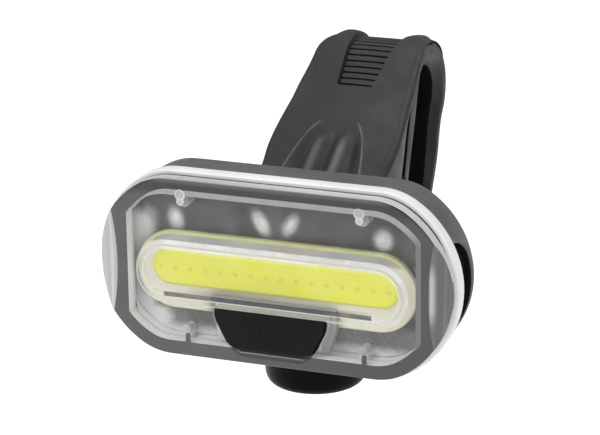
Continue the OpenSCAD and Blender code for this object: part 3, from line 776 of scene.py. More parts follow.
def cover_face(step):
    """Flat face, with the painted highlight round the window."""
    window = window_outline()
    step(ring(shifted(window, lambda nx, nz: -HIGHLIGHT_IN * highlight_share(nx, nz) - 0.01), 0), HIGHLIGHT)
    step(ring(shifted(window, lambda nx, nz: HIGHLIGHT_OUT * highlight_share(nx, nz) + 0.01), 0), RIM)


def edge_band(y):
    """Picks the finish of the cover's edge at a depth: facets at its ends, and rim or side between them."""
    left = END_N + 2 * CORNER_N + FLAT_N
    ends = {*range(END_N), *range(left, left + END_N)}
    end, between = FACET if y > FACET_FROM else RIM, RIM if y < SIDE_FROM else SIDE
    return lambda i: end if i in ends else between


def cover_edge(step):
    """Rounded edge of the cover, slanted at its two ends, and the seam behind it."""
    depth = LENS_T - GROOVE_W
    corner = fillet([(0.9, 0), (0, 0), (0, depth)], [0.45], 5)
    levels = corner[:-1] + [(0, y) for y in spread(corner[-2].y, depth, 8)[1:]]
    for inset, y in levels:
        def limit(z):
            return lerp(FACE_HALF + FACE_BOW * z * z, LAMP_L / 2, y / depth) - inset

        step(ring(cut_outline(LENS_STEP + inset, limit), y), edge_band(y))
    seam = lamp_outline(LENS_STEP + GROOVE)
    # The seam's groove takes the painted shade
    step(ring(seam, depth), SEAM_SHADE)
    step(ring(seam, LENS_T), RIM)


def cover_back(step):
    """Back of the cover: the window's edge, the plate and the hollow behind the strip window."""
    window = window_outline()
    step(ring(window, LENS_T), EDGE)
    step(ring(window, EDGE_FRONT), CLEAR)
    step(ring(inset_outline(window, PLATE_IN), PLATE_T), CLEAR)
    roof = STRIP_ROOF - STRIP_RISE
    hollow = [(-0.5, PLATE_T), (0, PLATE_T), (0, roof), (0.9, roof)]
    # Painted highlight round the hollow's inner rounding
    for inset, y in fillet(hollow, [0.25, 0.5], 4):
        step(strip_ring(inset + STRIP_WALL, y), GLINT if GLINT_LOW < inset < GLINT_HIGH else CLEAR)


def cover_trim(skin):
    """Tabs at the window's foot, beads with painted glint rims at its top, and painted highlight ticks at the
    ends of the strip's straight part.
    """
    rim, bead, glint = (COVER.index(finish) for finish in (RIM, BEAD, GLINT))
    foot = WINDOW_IN - LAMP_H / 2 - 0.2
    for x in TAB_X:
        tab = bar_outline(TAB_HALF, foot, TAB_TOP, [0.05, 0.3, 0.3, 0.05], x)
        skin.add([ring(tab, -ON_FACE), ring(tab, TAB_SINK)], rim)
    for x in (-BEAD_X, BEAD_X):
        for z, r in ((HEAD_Z, HEAD_R), (BEAD_Z, BEAD_R)):
            skin.add([ring(circle(x, z, r * share), y) for share, y in BEAD_STEPS], [bead, glint, glint])
    low = TICK_UP - STRIP_DROP - STRIP_H / 2
    for x in (-STRIP_STRAIGHT, STRIP_STRAIGHT):
        tick = [(x + dx, low + dz) for dx, dz in box_outline(*TICK)]
        skin.add([ring(tick, -STRIP_RISE - ON_FACE), ring(tick, 0.1 - STRIP_RISE)], glint)


def button_skirt():
    """Skirt of the cover round the button, from the plate back to the switch board."""
    inner, outer = button_outline(GAP), button_outline(GAP + SKIRT_W, SKIRT_SPREAD)
    front = PLATE_T + ON_FACE
    rings = [ring(inner, front), ring(outer, front), ring(outer, SKIRT_BACK), ring(inner, SKIRT_BACK)]
    settle(Skin().add(rings, loop=True).make("button_skirt", [SKIRT]), "front_unit", "clear_cover")


def lens_cover():
    """Cover in one skin, from the strip window's front over the rim to the hollow behind."""
    rings, bands = [], []

    def step(one, band):
        rings.append(one)
        bands.append(band)

    for stretch in (strip_front, cover_face, cover_edge, cover_back):
        stretch(step)

    def number(band, i):
        finish = bands[band]
        return COVER.index(finish(i) if callable(finish) else finish)

    skin = Skin().add(rings, number)
    cover_trim(skin)
    lens = skin.make("lens_shell", COVER, 30)
    opening = button_outline(GAP)
    cutter = Skin().add([ring(opening, -3), ring(opening, LENS_T + 0.4)])
    cut_away(lens, cutter.make("button_opening", [OPENING]))
    button_skirt()
    settle(lens, "front_unit", "clear_cover", "lens_cover")


def cut_away(item, tool):
    """Takes one mesh out of another, and deletes it."""
    modifier = item.modifiers.new("cut", "BOOLEAN")
    modifier.operation = "DIFFERENCE"
    modifier.solver = "EXACT"
    modifier.material_mode = "TRANSFER"
    modifier.object = tool
    apply_modifiers(item)
    bpy.data.objects.remove(tool)


def apply_modifiers(item):
    graph = bpy.context.evaluated_depsgraph_get()
    mesh = bpy.data.meshes.new_from_object(item.evaluated_get(graph), depsgraph=graph)
    item.modifiers.clear()
    item.data = mesh


def button_outline(grow, widen=0):
    """The button's outline, grown by an even margin and widened at its foot, with round corners."""
    top, low = BTN_TOP_W / 2 + grow, BTN_LOW_W / 2 + grow + widen
    high, foot = BTN_TOP_Z + grow, BTN_LOW_Z - grow
    shoulder = BTN_TOP_Z - BTN_SIDE
    points = [(top, shoulder), (top, high), (-top, high), (-top, shoulder), (-low, foot), (low, foot)]
    return closed_fillet(points, [1.2, 1.0, 1.0, 1.2, 2.2, 2.2])


def power_button():
    """Button cap with a rounded edge, and its raised power symbol."""
    shape = button_outline(0)
    edge = fillet([(0.45, -BTN_PROUD), (0, -BTN_PROUD), (0, BTN_BACK)], [0.4], 5)
    cap = Skin().add([ring(inset_outline(shape, inset), y) for inset, y in edge])
    settle(cap.make("button_cap", [BUTTON], 40), "button", "button_rubber", "power_button")
    mark = Skin()
    middle = (BTN_TOP_Z + BTN_LOW_Z) / 2 - 0.1
    turns = [math.radians(t) for t in range(125, 416, 10)]
    sweep(mark, [(MARK_R * math.cos(t), middle + MARK_R * math.sin(t)) for t in turns])
    sweep(mark, [(0, middle + z) for z in (0.3, 0.9, 1.5, 2.1, 2.7)])
    settle(mark.make("button_power_mark", [ICON], 60), "button", "button_rubber")


def sweep(skin, path):
    """A low bead along a path on the button's face."""
    section = [(MARK_HALF * c, -BTN_PROUD - MARK_RISE * s) for c, s in circle(0, 0, 1, 8)]
    rings = []
    for i, (x, z) in enumerate(path):
        (ax, az), (bx, bz) = path[max(0, i - 1)], path[min(len(path) - 1, i + 1)]
        size = math.hypot(bx - ax, bz - az)
        across = ((az - bz) / size, (bx - ax) / size)
        rings.append([lamp_point(x + across[0] * s, y, z + across[1] * s) for s, y in section])
    skin.add(rings)


def seal_ring():
    skin = Skin()
    lip = MOUTH_IN + WALL + GAP
    profile = [
        (WINDOW_IN, LENS_T), (0, LENS_T), (0, RING_BACK), (lip, RING_BACK), (lip, RING_BACK + LIP_T),
        (WINDOW_IN, RING_BACK + LIP_T),
    ]
    rounded = closed_fillet(profile, [0.2, 0.5, 0.45, 0.2, 0.2, 0.2], 4)
    skin.add([ring(lamp_outline(inset), y) for inset, y in rounded], loop=True)
    settle(skin.make("pale_ring", [WHITE]), "front_unit", "white_plastic", "seal_ring")


def rear_housing():
    """Rear shell: the bulge round the cells, the drafted rim with its pry slot, and the bay inside."""
    draft, inner, floor = MOUTH_IN + RIM_DRAFT, MOUTH_IN + WALL, RIM_BACK - WALL
    bulge = fillet([(3, BULGE_BACK), (0, BULGE_BACK), (0, RIM_BACK), (-0.8, RIM_BACK)], [1.2, 0.6], 5)
    rim = [(draft + 4, RIM_BACK), (draft, RIM_BACK), (MOUTH_IN, MOUTH_Y), (inner, MOUTH_Y)]
    wall = [(inner, MOUTH_Y + 0.2), (inner, floor), (inner + 3, floor)]
    bay = fillet([(-0.6, floor), (0, floor), (0, BAY_BACK), (3, BAY_BACK)], [0.3, 0.6], 4)
    rings = box_rings(bulge, BAY_X + WALL, BAY_Z + WALL, BULGE_R, 0.4)
    rings += [ring(lamp_outline(i), y) for i, y in fillet(rim, [1.4, 0.25], 6) + fillet(wall, [0.8], 4)]
    rings += box_rings(bay, BAY_X, BAY_Z, BAY_R, 0.3)
    shell = Skin().add(rings).make("housing_shell", [HOUSING, RECESS_SHADE], 32)
    # Cutting the pry slot leaves painted shade on its walls
    cut_away(shell, pry_slot())
    settle(shell, "head", "grey_plastic", "rear_housing")


def swivel_barrel():
    """Upright barrel behind the bulge, round the swivel's bush."""
    back = BULGE_BACK - SWIVEL_Y - 0.8
    wide = [(BARREL_R, back), *arc(0, 0, BARREL_R, 0, 180, 36), (-BARREL_R, 0), (-BARREL_R, back)]
    barrel = pierced(Skin(), wide, BUSH_R, -BARREL_DOWN, BARREL_UP, swivel_point)
    settle(bevelled(barrel.make("housing_barrel", [HOUSING]), 0.4), "head", "grey_plastic")


def pry_slot():
    """Slot in the housing's right-hand end, with round corners and a floor along the end's outline."""
    floor = lamp_outline(MOUTH_IN + PRY_T)
    mouth, out = MOUTH_Y - 1, LAMP_L / 2 + 3
    rings = []
    for turn in spread(-88, 88, 32):
        z = PRY_L / 2 * math.sin(math.radians(turn))
        past = max(0, abs(z) - PRY_L / 2 + PRY_R) / PRY_R
        near, end = outline_half(floor, z), MOUTH_Y + PRY_W * math.sqrt(1 - past * past)
        rings.append([lamp_point(x, y, z) for x, y in ((near, mouth), (out, mouth), (out, end), (near, end))])
    # The slot's faces carry painted shade into the housing
    return Skin().add(rings).make("pry_cut", [RECESS_SHADE])


def bevelled(item, width, angle=40):
    """Rounds the edges of a mesh that turn by more than an angle."""
    modifier = item.modifiers.new("round", "BEVEL")
    modifier.width = width * MM
    modifier.segments = 3
    modifier.limit_method = "ANGLE"
    modifier.angle_limit = math.radians(angle)
    apply_modifiers(item)
    item.data.shade_smooth()
    item.data.set_sharp_from_angle(angle=math.radians(35))
    return item


# Pale posts on the tray: middle, half sizes, lean and how strongly they show
SPOTS = (
    ((-27.4, 8.1), (2.0, 2.4), 0, 0.45), ((-21.5, 8.3), (1.5, 2.3), 12, 0.8),
    ((-3.6, 9.2), (1.35, 2.5), 30, 1.0), ((2.5, 9.4), (1.3, 2.5), -31, 0.66),
    ((21.4, 8.4), (1.7, 2.0), 0, 0.95),
)


def spot_share(x, z):
    """Soft white round each pale post."""
    share = 0
    for (cx, cz), (half_x, half_z), lean, strength in SPOTS:
        t = math.radians(lean)
        along = ((z - cz) * math.cos(t) - (x - cx) * math.sin(t)) / half_z
        across = ((x - cx) * math.cos(t) + (z - cz) * math.sin(t)) / half_x
        share = max(share, min(1, 1.15 * strength) * math.exp(-0.8 * (along ** 2 + across ** 2) ** 1.3))
    return share


def whiteness(x, z):
    """Share of white on the tray: its posts, and its left, lower and right-hand edges."""
    left = smooth(-24.0, -28.6, x) * smooth(11.5, 6.5, z)
    corner = smooth(-20, -26, x) * smooth(-8.5, -11.5, z)
    low = max(smooth(-11.4, -15.2, z) * 0.85, smooth(-7, -10, z) * 0.25)
    right = smooth(26, 29.5, x) * smooth(4.6, 3.2, z) * smooth(-7.5, -5.5, z) * 0.8
    return max(left, corner, low, right, spot_share(x, z))


def inner_tray():
    """Tray as a fine grid that is painted white at its posts and edges, and a pad behind the light board."""
    shape = lamp_outline(WINDOW_IN + 0.1)
    high = max(z for x, z in shape) - 0.01
    rings = []
    for z in spread(-high, high, TRAY_ROWS):
        half = outline_half(shape, z)
        xs = spread(-half, half, TRAY_COLUMNS)
        rings.append([lamp_point(x, TRAY_Y, z) for x in xs] + [lamp_point(x, TRAY_BACK, z) for x in xs[::-1]])
    tray = Skin().add(rings).make("tray_floor", [TRAY])
    paint(tray, "white", lambda p: whiteness(p.x, p.z - LAMP.z / MM))
    settle(tray, "front_unit", "grey_plastic", "inner_tray")
    edge = fillet([(0.6, BOARD_BACK), (0.2, BOARD_BACK), (0.2, TRAY_Y + 0.1)], [0.2], 3)
    pad = Skin().add([strip_ring(i, y, BOARD_L, BOARD_H, BOARD_DROP) for i, y in edge])
    settle(pad.make("tray_pad", [HOUSING]), "front_unit", "grey_plastic")


def led_board():
    """Light board with a bevelled border, and a notch over the button."""
    border, mask = range(2)
    profile = [(3, BOARD_Y), (0.6, BOARD_Y), (0.2, BOARD_Y), (0, BOARD_Y + 0.2), (0, BOARD_BACK)]
    rings = [strip_ring(i, y, BOARD_L, BOARD_H, BOARD_DROP) for i, y in profile]
    board = Skin().add(rings, [mask, border, border, border]).make("light_board", [BORDER, MASK])
    half, foot = NOTCH_HALF_W, -14
    notch = [(half, NOTCH_Z), (-half, NOTCH_Z), (-half, foot), (half, foot)]
    cutter = Skin().add([ring(notch, BOARD_Y - 1), ring(notch, BOARD_BACK + 1)])
    cut_away(board, cutter.make("board_notch", [BORDER]))
    settle(board, "front_unit", "cream_board", "led_board")


def cob_phosphor():
    """Yellow strip with soft edges on the light board."""
    edge = fillet([(2.4, COB_Y), (0.5, COB_Y), (0, BOARD_Y)], [1.2], 5)
    cob = Skin().add([strip_ring(i, y, COB_L, COB_H, COB_DROP) for i, y in edge])
    settle(cob.make("phosphor_strip", [COB]), "front_unit", "phosphor", "cob_phosphor")


def dome(skin, centre, half_x, half_z, height, lean):
    """A soft raised spot on the tray, leaning from upright."""
    turn = Matrix.Rotation(math.radians(lean), 2)
    rings = []
    for rise in spread(0, math.radians(84), 6):
        oval = [Vector((half_x * x, half_z * z)) for x, z in circle(0, 0, math.cos(rise), 24)]
        rings.append(ring([Vector(centre) + turn @ p for p in oval], TRAY_Y - height * math.sin(rise)))
    skin.add(rings)


def tray_stakes():
    """Pale posts on the tray. The first spot is only painted."""
    skin = Skin()
    for (x, z), (half_x, half_z), lean, strength in SPOTS[1:]:
        dome(skin, (x, z + POST_UP), POST_SHARE * half_x, POST_SHARE * half_z, POST_RISE, lean)
    settle(skin.make("tray_posts", [POST]), "front_unit", "white_plastic", "tray_stakes")


def lens_pegs():
    """Clear pegs behind the window's corners, of which the lower ones are brighter, in the painted glint."""
    skin = Skin()
    for x in (-PEG_X, PEG_X):
        for z, r, number in zip((-PEG_Z, PEG_Z), PEG_R, (1, 0)):
            peg = circle(x, z, r)
            skin.add([ring(peg, PLATE_T + ON_FACE), ring(peg, LENS_T + 1.2)], number)
    settle(skin.make("lens_pegs", [BEAD, GLINT]), "front_unit", "clear_cover")


def pivot_knob():
    """Clamping knob, a round body with a rounded foot."""
    low = KNOB_TOP - KNOB_H
    side = [(0.6, low), (KNOB_R - 0.6, low), (KNOB_R, low + KNOB_EDGE), (KNOB_R, KNOB_TOP), (3.2, KNOB_TOP)]
    profile = fillet(side, [4.2, 3.2, 0.6], 10)
    rings = [[swivel_point(x, y, z) for x, y in circle(0, 0, r, KNOB_N)] for r, z in profile]
    settle(Skin().add(rings).make("knob_dome", [KNOB]), "knob", "black_plastic", "pivot_knob")


# Handlebar loop

def strap_half(v, u):
    """Half the strap's width at a place in the loop's frame."""
    low = max(0, SLOT_ARC - u)
    front, back = -SLOT_R - BAND_FRONT, SLOT_R + BAND_REAR
    share = clamp((v - front) / (back - front))
    rear = REAR_HALF + REAR_FLARE * low + REAR_GROW * smooth(8, -4, u)
    return lerp(FRONT_HALF + FRONT_FLARE * low, rear, share)


def strap_thickness(turn):
    """The strap's thickness, where turn is 180 down the front and 0 down the rear."""
    if turn > 90:
        return lerp(BAND_TOP, BAND_FRONT, smooth(90, 180, turn))
    return lerp(BAND_REAR, BAND_TOP, smooth(0, 90, turn))


class Station:
    """A place along the slot's wall, with the direction out of the slot."""

    def __init__(self, v, u, turn):
        self.v, self.u, self.turn = v, u, turn
        self.out = (math.cos(math.radians(turn)), math.sin(math.radians(turn)))
        self.strap = strap_thickness(turn)
        # Foot of the hood at the strap's edge, and its underside, which is lower towards the top
        self.foot = self.strap - 0.35 - 0.35 * smooth(176, 140, turn) + 0.6 * smooth(130, 114, turn)
        self.under = min(self.foot, self.strap - 1.5 * smooth(176, 140, turn))

    def at(self, height):
        return self.v + self.out[0] * height, self.u + self.out[1] * height

    def point(self, x, height):
        return loop_point(x, *self.at(height))


def front_station(u):
    return Station(-SLOT_R, u, 180)


def arc_station(turn):
    t = math.radians(turn)
    return Station(SLOT_R * math.cos(t), SLOT_ARC + SLOT_R * math.sin(t), turn)


def rear_station(u):
    return Station(SLOT_R, u, 0)


def mirrored(half):
    """A ring from the points of its right-hand half, whose ends lie in the middle."""
    return half + [(-x, h) for x, h in half[-2:0:-1]]


def strap_section(station):
    """A ring round the strap: raised inner face, right flank, seam groove, outer face and left flank."""
    t = station.strap
    half_in, half_out = strap_half(*station.at(0)), strap_half(*station.at(t))
    lip = LIP_RISE * smooth(-16, 3, station.u)
    covered = smooth(HOOD_END_TURN, HOOD_END_TURN + 30, station.turn)
    seam = lerp(SEAM_LOW, SEAM_TOP, smooth(-18, 6, station.u))
    edge = lerp(t - 0.6, station.foot - seam, covered)
    neck = half_out - lerp(0.6, SEAM_DEPTH, covered)
    top = lerp(t, station.under - 0.3, covered)
    groove = lerp(t, edge, covered) + 0.02
    corners = [(0, -lip), (half_in - LIP_IN, -lip), (half_in, 0), (half_out, edge), (neck, groove)]
    corners += [(neck - 0.4, top), (0, top)]
    return mirrored([tuple(p) for p in fillet(corners, [0.5, 0.5, 0.25, 0.05, 0.2], 3)])


def strap_loop():
    """The strap round the slot, with painted shade on its inner face and in its seam groove."""
    stations = [front_station(u) for u in spread(FOOT_LOW, SLOT_ARC, 24)[:-1]]
    stations += [arc_station(turn) for turn in spread(180, 0, 72)[:-1]]
    stations += [rear_station(u) for u in spread(SLOT_ARC, FOOT_LOW, 24)]
    rings = [[s.point(x, h) for x, h in strap_section(s)] for s in stations]
    count = len(rings[0])

    # Painted shade on the inner face and in the seam groove
    def number(band, i):
        place = min(i, count - 1 - i)
        return 1 if place < 3 or 11 <= place <= 18 else 0

    loop = Skin().add(rings, number)
    settle(loop.make("strap_loop", [STRAP, RECESS_SHADE], 40), "mount", "strap_rubber", "strap_band")


def hood_station(s):
    """The place at a length s along the hood, from the foot of its ribs."""
    u = s + RIB_START
    if u <= SLOT_ARC:
        return front_station(u)
    return arc_station(180 - math.degrees((u - SLOT_ARC) / (SLOT_R + HOOD_TOP)))


def hood_length(v, u):
    """The length along the hood of a place in the loop's frame."""
    if u <= SLOT_ARC:
        return u - RIB_START
    return SLOT_ARC - RIB_START + (SLOT_R + HOOD_TOP) * math.atan2(u - SLOT_ARC, -v)


def hood_height(station):
    """Height of the hood's crown over the slot's wall."""
    if station.turn == 180:
        return HOOD_RISE + HOOD_SLOPE * (SLOT_ARC - station.u)
    share = max(0, station.turn - HOOD_TOP_TURN) / (180 - HOOD_TOP_TURN)
    return lerp(lerp(HOOD_TOP, HOOD_RISE, share ** 2), station.strap - 0.25, hood_fade(station))


def hood_fade(station):
    """Share by which the hood has sunk into the strap at its rear end."""
    return smooth(HOOD_END_TURN + 34, HOOD_END_TURN, station.turn)


def hood_half(station):
    """Half the hood's width at its shoulders."""
    half = min(HOOD_HALF_MAX, HOOD_HALF + HOOD_FLARE * max(0, SLOT_ARC - station.u))
    half += SHOULDER_GROW * smooth(-5, 1, station.u) - FOOT_TAPER * smooth(-16, -22, station.u)
    half -= BROW_TAPER * smooth(BROW_U, HOOD_LOW, station.u) ** 2 + TOP_TAPER * smooth(180, 125, station.turn)
    return lerp(half, strap_half(*station.at(station.strap)) - 0.5, hood_fade(station))


def rib_groove(s):
    """Depth of the narrow grooves between the grip ribs."""
    t = (s - RIB_FIRST) % RIB_PITCH
    return RIB_DEPTH * smooth(0, 0.08, t) * smooth(RIB_GAP, RIB_GAP - 0.08, t)


def channel_reach(s):
    """Half the ribbed channel's width, rounded in at its lower corners."""
    reach = lerp(CHANNEL_LOW, CHANNEL_TOP, clamp(s / CHANNEL_L))
    return reach - CHANNEL_ROUND * (1 - clamp((s + 0.3) / 0.9)) ** 2


def hood_relief(x, s):
    """Height of the hood's relief: the ribbed channel, and the arch with its two ridges."""
    u = s + RIB_START
    reach = channel_reach(s)
    inside = smooth(reach + 0.12, reach - 0.12, abs(x))
    inside *= smooth(-0.35, -0.1, s) * smooth(CHANNEL_END, CHANNEL_END - 2, s)
    height = -inside * (CHANNEL_DEPTH + rib_groove(s))
    out = arch_reach(x, u)
    if out < 1.5:
        fade = smooth(ARCH_TOP - 0.4, ARCH_TOP - 4, u)
        height += ARCH_RIM * fade * bell(out, ARCH_RIM_W)
        height -= ARCH_DEPTH * fade * smooth(-0.1, -2.6, out)
        ridge = bell(abs(x + RIDGE_SHIFT) - RIDGE_X, RIDGE_W)
        height += RIDGE_RISE * ridge * smooth(-10, -15.5, u)
    return height


def arch_reach(x, u):
    """Distance out of the arch, which is below 0 inside it."""
    if u > ARCH_TOP - 0.02:
        return math.hypot(x, u - ARCH_TOP)
    share = (ARCH_TOP - u) / (ARCH_TOP - ARCH_FOOT)
    half = ARCH_HALF * share ** 0.3
    slope = 0.3 * half / (ARCH_TOP - u)
    return (abs(x) - half) / math.hypot(1, slope)


def hood_painted_light(x, v, u):
    """Painted highlight (above 0) and painted shade (below 0): the lit flanks, the channel's edge and the
    arch.
    """
    s = hood_length(v, u)
    if u < SLOT_ARC and v > FLANK_IN - SLOT_R - HOOD_RISE - HOOD_SLOPE * (SLOT_ARC - u):
        return FLANK_HIGHLIGHT
    if s > -0.6:
        past = max(abs(x) - channel_reach(s), -0.15 - s)
        return -CHANNEL_SHADE * bell(past, 0.22) * smooth(CHANNEL_LOW, CHANNEL_LOW - 1, x)
    rim = RIM_HIGHLIGHT * bell(arch_reach(x, u), 0.24) * smooth(2.8, 5, abs(x))
    foot = smooth(-11.5, -17, u)
    ridge = RIDGE_HIGHLIGHT * bell(abs(x + RIDGE_SHIFT) - RIDGE_X, 1.25) * foot
    dark = ARCH_SHADE * foot * max(bell(x, 1.0), bell(abs(x) - 5.3, 1.1))
    return max(rim, ridge) - dark


def hood_section(station, s):
    """A ring round the hood: inner face, flanks, round shoulders and the relief between them."""
    high, half = hood_height(station), hood_half(station)
    low = min(station.foot, high - 0.4)
    under = min(station.under, low)
    half_low = min(half, strap_half(*station.at(low)) + BASE_GROW)
    top = smooth(172, 135, station.turn)
    cheek = top * (1 - hood_fade(station))
    sag = lerp(SAG_FRONT, SAG_TOP, top) * min(1, (high - low) / 3)
    crease = lerp(lerp(CREASE_LOW, CREASE_HIGH, smooth(-12, 4, station.u)), CREASE_TOP, top)
    edge = high - sag - EDGE_DROP * top * min(1, high - low)
    if station.u < BROW_U:
        # Thin brow over the bolt's head, level on its underside
        brow = (LAMP.z / MM + BROW_Z - station.u * LEAN_COS) / LEAN_SIN - SLOT_R
        under = min(brow, high - 0.12)
        low, half_low = min(under, edge - 0.15), half
    stop = half - crease - 2
    corners = [(0, low), (half_low, low), (half, edge), (stop, crown(stop, half, high, sag, cheek))]
    rim = [(0, under), (half_low - 1.4, min(under, low + 0.05))]
    rim += [tuple(p) for p in round_corner(corners, 0.25, crease)[1:]]
    start, reach = rim[-1][0], channel_reach(s)
    xs = spread(start, reach + 0.16, 44)[1:] + [reach + 0.06, reach - 0.06] + spread(reach - 0.16, 0, 16)
    return mirrored(rim + [(x, crown(x, half, high, sag, cheek) + hood_relief(x, s)) for x in xs])


def crown(x, half, high, sag, cheek):
    """Height across the hood: one flat arc, or a round cheek on each side by the share cheek."""
    if x > CHEEK_X:
        drop = CHEEK_OUT * ((x - CHEEK_X) / max(1, half - CHEEK_X)) ** 2
    else:
        drop = CHEEK_IN * min(1, (CHEEK_X - x) / (CHEEK_X - CHANNEL_TOP)) ** 2
    return high - lerp(sag * (x / half) ** 2, drop, cheek)


def round_corner(corners, low_r, high_r):
    """The hood's half outline up to its shoulder, whose rounding reaches further across than down."""
    foot, edge, shoulder, inner = (Vector(c) for c in corners)
    start = shoulder + (edge - shoulder) * min(0.85, high_r / max(0.01, (edge - shoulder).length))
    stop = shoulder + (inner - shoulder).normalized() * high_r
    stop.y = inner.y + (shoulder.y - inner.y) * ((stop.x - inner.x) / (shoulder.x - inner.x)) ** 2
    return fillet([foot, edge, start], [low_r], 3)[:-1] + bend(start, shoulder, stop, 8)


def hood_lengths():
    """Lengths along the hood, finer at the edges of each rib."""
    low = HOOD_LOW - RIB_START
    stop = SLOT_ARC - RIB_START + (SLOT_R + HOOD_TOP) * math.radians(180 - HOOD_END_TURN)
    brow = BROW_U - RIB_START
    lengths = spread(low, brow - 0.01, 4) + spread(brow, -0.6, 70)
    lengths += [-0.35, -0.28, -0.22, -0.16, -0.1, 0.1, 0.3]
    steps = (0, 0.04, 0.08, RIB_GAP - 0.08, RIB_GAP - 0.04, RIB_GAP, 0.7, 1.1, 1.45)
    s = RIB_FIRST
    while s < CHANNEL_END:
        lengths += [s + step for step in steps]
        s += RIB_PITCH
    return lengths + spread(lengths[-1], stop, 8)[1:]


def mount_hood():
    """Hood over the strap's front and top, with painted highlights and painted shade by place."""
    stations = [(hood_station(s), s) for s in hood_lengths()]
    rings = [[station.point(x, h) for x, h in hood_section(station, s)] for station, s in stations]
    hood = Skin().add(rings).make("mount_hood", [HOOD], 50)

    def painted_light(p):
        return hood_painted_light(p.x, p.y * LEAN_COS - p.z * LEAN_SIN, p.y * LEAN_SIN + p.z * LEAN_COS)

    paint(hood, "painted_light", painted_light)
    settle(hood, "mount", "black_plastic", "mount_base")


def fork():
    """Fork behind the lamp: a spine, two round arms on the swivel, and the foot with its hook peg."""
    skin = Skin()
    spine = bar_outline(SPINE_W / 2, 0, SPINE_T, [1.2] * 4)
    ends = (ARM_LOW_Z, ARM_TOP_Z + ARM_TOP_T)
    skin.add([[lamp_point(x, SPINE_Y + y, z) for x, y in spine] for z in ends])
    back = SPINE_Y + 0.6 - SWIVEL_Y
    for r, z, t in ((ARM_TOP_R, ARM_TOP_Z, ARM_TOP_T), (ARM_LOW_R, ARM_LOW_Z, ARM_LOW_T)):
        wide = arc(0, 0, r, 180, 360, 40) + run((r, 0), (r, back), 2)
        wide += run((r, back), (-r, back), 4) + run((-r, back), (-r, 0), 2)
        pierced(skin, wide, BOLT_HOLE_R, z, z + t, swivel_point)
    foot = bar_outline(FOOT_HALF, -SLOT_R - BAND_FRONT - 1, EYE_V + EYE_R, [0.3, 2.5, 2.5, 0.3])
    peg = circle(0, EYE_V, HOOK_R, 36)
    for shape, low, high in ((foot, FOOT_LOW, FOOT_TOP), (peg, FOOT_LOW - 3.3, FOOT_LOW + 0.5)):
        skin.add([[loop_point(x, v, u) for x, v in shape] for u in (low, high)])
    settle(bevelled(skin.make("mount_fork", [BLACK]), 0.35), "mount", "black_plastic")


def strap_tail():
    """The strap's free end, round at the tip, with an eye for the hook peg."""
    half = strap_half(FOLD_V, FOLD_U)
    wide = [(half, FOLD_V), *arc(0, EYE_V, TIP_R, 0, -180, 40), (-TIP_R, EYE_V)]
    wide += run((-half, FOLD_V), (half, FOLD_V), 16)
    angles = [math.atan2(v - EYE_V, x) for x, v in wide]
    eye = [(EYE_R * math.cos(a), EYE_V + EYE_R * math.sin(a)) for a in angles]
    high, low = -SLOT_DOWN, -SLOT_DOWN - BAND_REAR
    stack = ((eye, low), (wide, low), (wide, high), (eye, high))
    skin = Skin().add([[loop_point(x, v, u) for x, v in shape] for shape, u in stack], loop=True)
    fold = circle(FOLD_V, FOLD_U, BAND_REAR / 2, 24)
    skin.add([[loop_point(x, v, u) for v, u in fold] for x in (-half, half)])
    settle(bevelled(skin.make("tail_strap", [STRAP]), 0.35), "strap_tail", "strap_rubber", "strap_tail")


# Finish of the nodes that are shown as they are
NODE_FINISH = {
    "tray_screws": DULL, "driver_board": GREEN, "tact_switch": BLACK, "power_tabs": BRASS,
    "battery_upper": CELL, "battery_lower": CELL, "contact_springs": STEEL, "contact_plates": STEEL,
    "contact_bridge": STEEL, "pivot_bush": BRASS, "pivot_bolt": STEEL, "pivot_washer": STEEL,
    "knob_insert": BRASS,
}


def finish_nodes():
    for name, material in NODE_FINISH.items():
        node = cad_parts[name]
        node.data.materials.clear()
        node.data.materials.append(material)


# Camera: its distance from the lamp, its focal length in pixels and the pixel of the lamp's origin
CAMERA_TURN, CAMERA_RISE, CAMERA_ROLL = 22.511, 19.204, -1.005
CAMERA_FAR = 507.8
CAMERA_F = 2655.114
IMAGE_W, IMAGE_H = 600, 435
FACE_PIXEL = (269.286, 278.79)
SENSOR = 36

# Stage, in metres
FLOOR_DROP, FLOOR_HALF, FLOOR_GLOW = 0.03, 3, 0.35
WORLD_LIGHT, WORLD_SEEN = 0.42, 1.0
AIM = Vector((0, -0.03, 0))
# Soft lights: name, place, size, and power in watts
LIGHTS = (
    ("key", (-0.5, -0.7, 0.9), (0.6, 0.6), 6.5),
    ("fill", (0.8, -0.5, 0.35), (0.5, 0.7), 2.5),
    ("top", (0.1, 0.2, 1.0), (0.8, 0.5), 4),
)


def camera():
    a, e, roll = (math.radians(t) for t in (CAMERA_TURN, CAMERA_RISE, CAMERA_ROLL))
    back = Vector((math.sin(a) * math.cos(e), -math.cos(a) * math.cos(e), math.sin(e)))
    right = Vector((math.cos(a), math.sin(a), 0))
    up = back.cross(right)
    right, up = right * math.cos(roll) + up * math.sin(roll), up * math.cos(roll) - right * math.sin(roll)
    across, down = IMAGE_W / 2 - FACE_PIXEL[0], IMAGE_H / 2 - FACE_PIXEL[1]
    aim = right * across / CAMERA_F - up * down / CAMERA_F - back
    away = -aim.normalized()
    side = up.cross(away).normalized()
    data = bpy.data.cameras.new("camera")
    data.sensor_width = SENSOR
    data.lens = CAMERA_F * SENSOR / IMAGE_W
    data.clip_start, data.clip_end = 0.01, 20
    item = bpy.data.objects.new("camera", data)
    basis = Matrix((side, away.cross(side), away)).transposed().to_4x4()
    item.matrix_world = Matrix.Translation(LAMP + back * CAMERA_FAR * MM) @ basis
    bpy.context.collection.objects.link(item)
    bpy.context.scene.camera = item


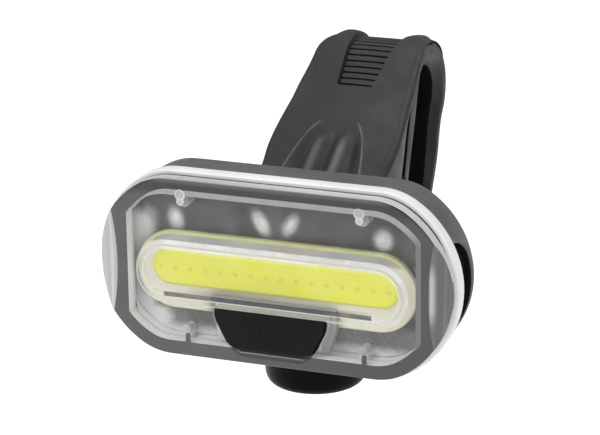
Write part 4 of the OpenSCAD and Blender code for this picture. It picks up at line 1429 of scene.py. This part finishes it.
def soft_light(name, place, size, power):
    data = bpy.data.lights.new(name, "AREA")
    data.shape = "RECTANGLE"
    data.size, data.size_y = size
    data.energy = power
    item = bpy.data.objects.new(name, data)
    item.location = place
    item.rotation_euler = (AIM - Vector(place)).to_track_quat("-Z", "Y").to_euler()
    bpy.context.collection.objects.link(item)


def floor():
    """Pale floor, with a little light of its own where it is seen."""
    z, size = cad_box[0].z - FLOOR_DROP, FLOOR_HALF
    corners = [(-size, -size, z), (size, -size, z), (size, size, z), (-size, size, z)]
    n = Nodes("floor").set(Roughness=0.8, Emission_Color=(1.0, 1.0, 1.0, 1.0))
    n.colour(n.mix(n.cloud(3, 2), (0.86, 0.86, 0.86, 1.0), (0.9, 0.9, 0.9, 1.0)))
    path = n.add("ShaderNodeLightPath").outputs
    rays = n.math("MAXIMUM", path["Is Camera Ray"], path["Is Glossy Ray"])
    rays = n.math("MAXIMUM", rays, path["Is Transmission Ray"])
    n.link(n.times(rays, FLOOR_GLOW), n.shader.inputs["Emission Strength"])
    mesh_object("floor", corners, [(0, 1, 2, 3)], [n.material])


def studio():
    """White surroundings, which light the part less strongly than they look."""
    world = bpy.data.worlds.new("studio")
    world.use_nodes = True
    tree = world.node_tree
    background = tree.nodes["Background"]
    light = tree.nodes.new("ShaderNodeLightPath")
    strength = tree.nodes.new("ShaderNodeMapRange")
    strength.inputs["To Min"].default_value = WORLD_LIGHT
    strength.inputs["To Max"].default_value = WORLD_SEEN
    tree.links.new(light.outputs["Is Camera Ray"], strength.inputs["Value"])
    tree.links.new(strength.outputs["Result"], background.inputs["Strength"])
    background.inputs["Color"].default_value = (1.0, 1.0, 1.0, 1.0)
    bpy.context.scene.world = world
    for light in LIGHTS:
        soft_light(*light)
    bpy.context.scene.view_settings.view_transform = "Standard"


camera()
lens_cover()
power_button()
seal_ring()
rear_housing()
swivel_barrel()
inner_tray()
led_board()
cob_phosphor()
tray_stakes()
lens_pegs()
pivot_knob()
strap_loop()
mount_hood()
fork()
strap_tail()
finish_nodes()
floor()
studio()
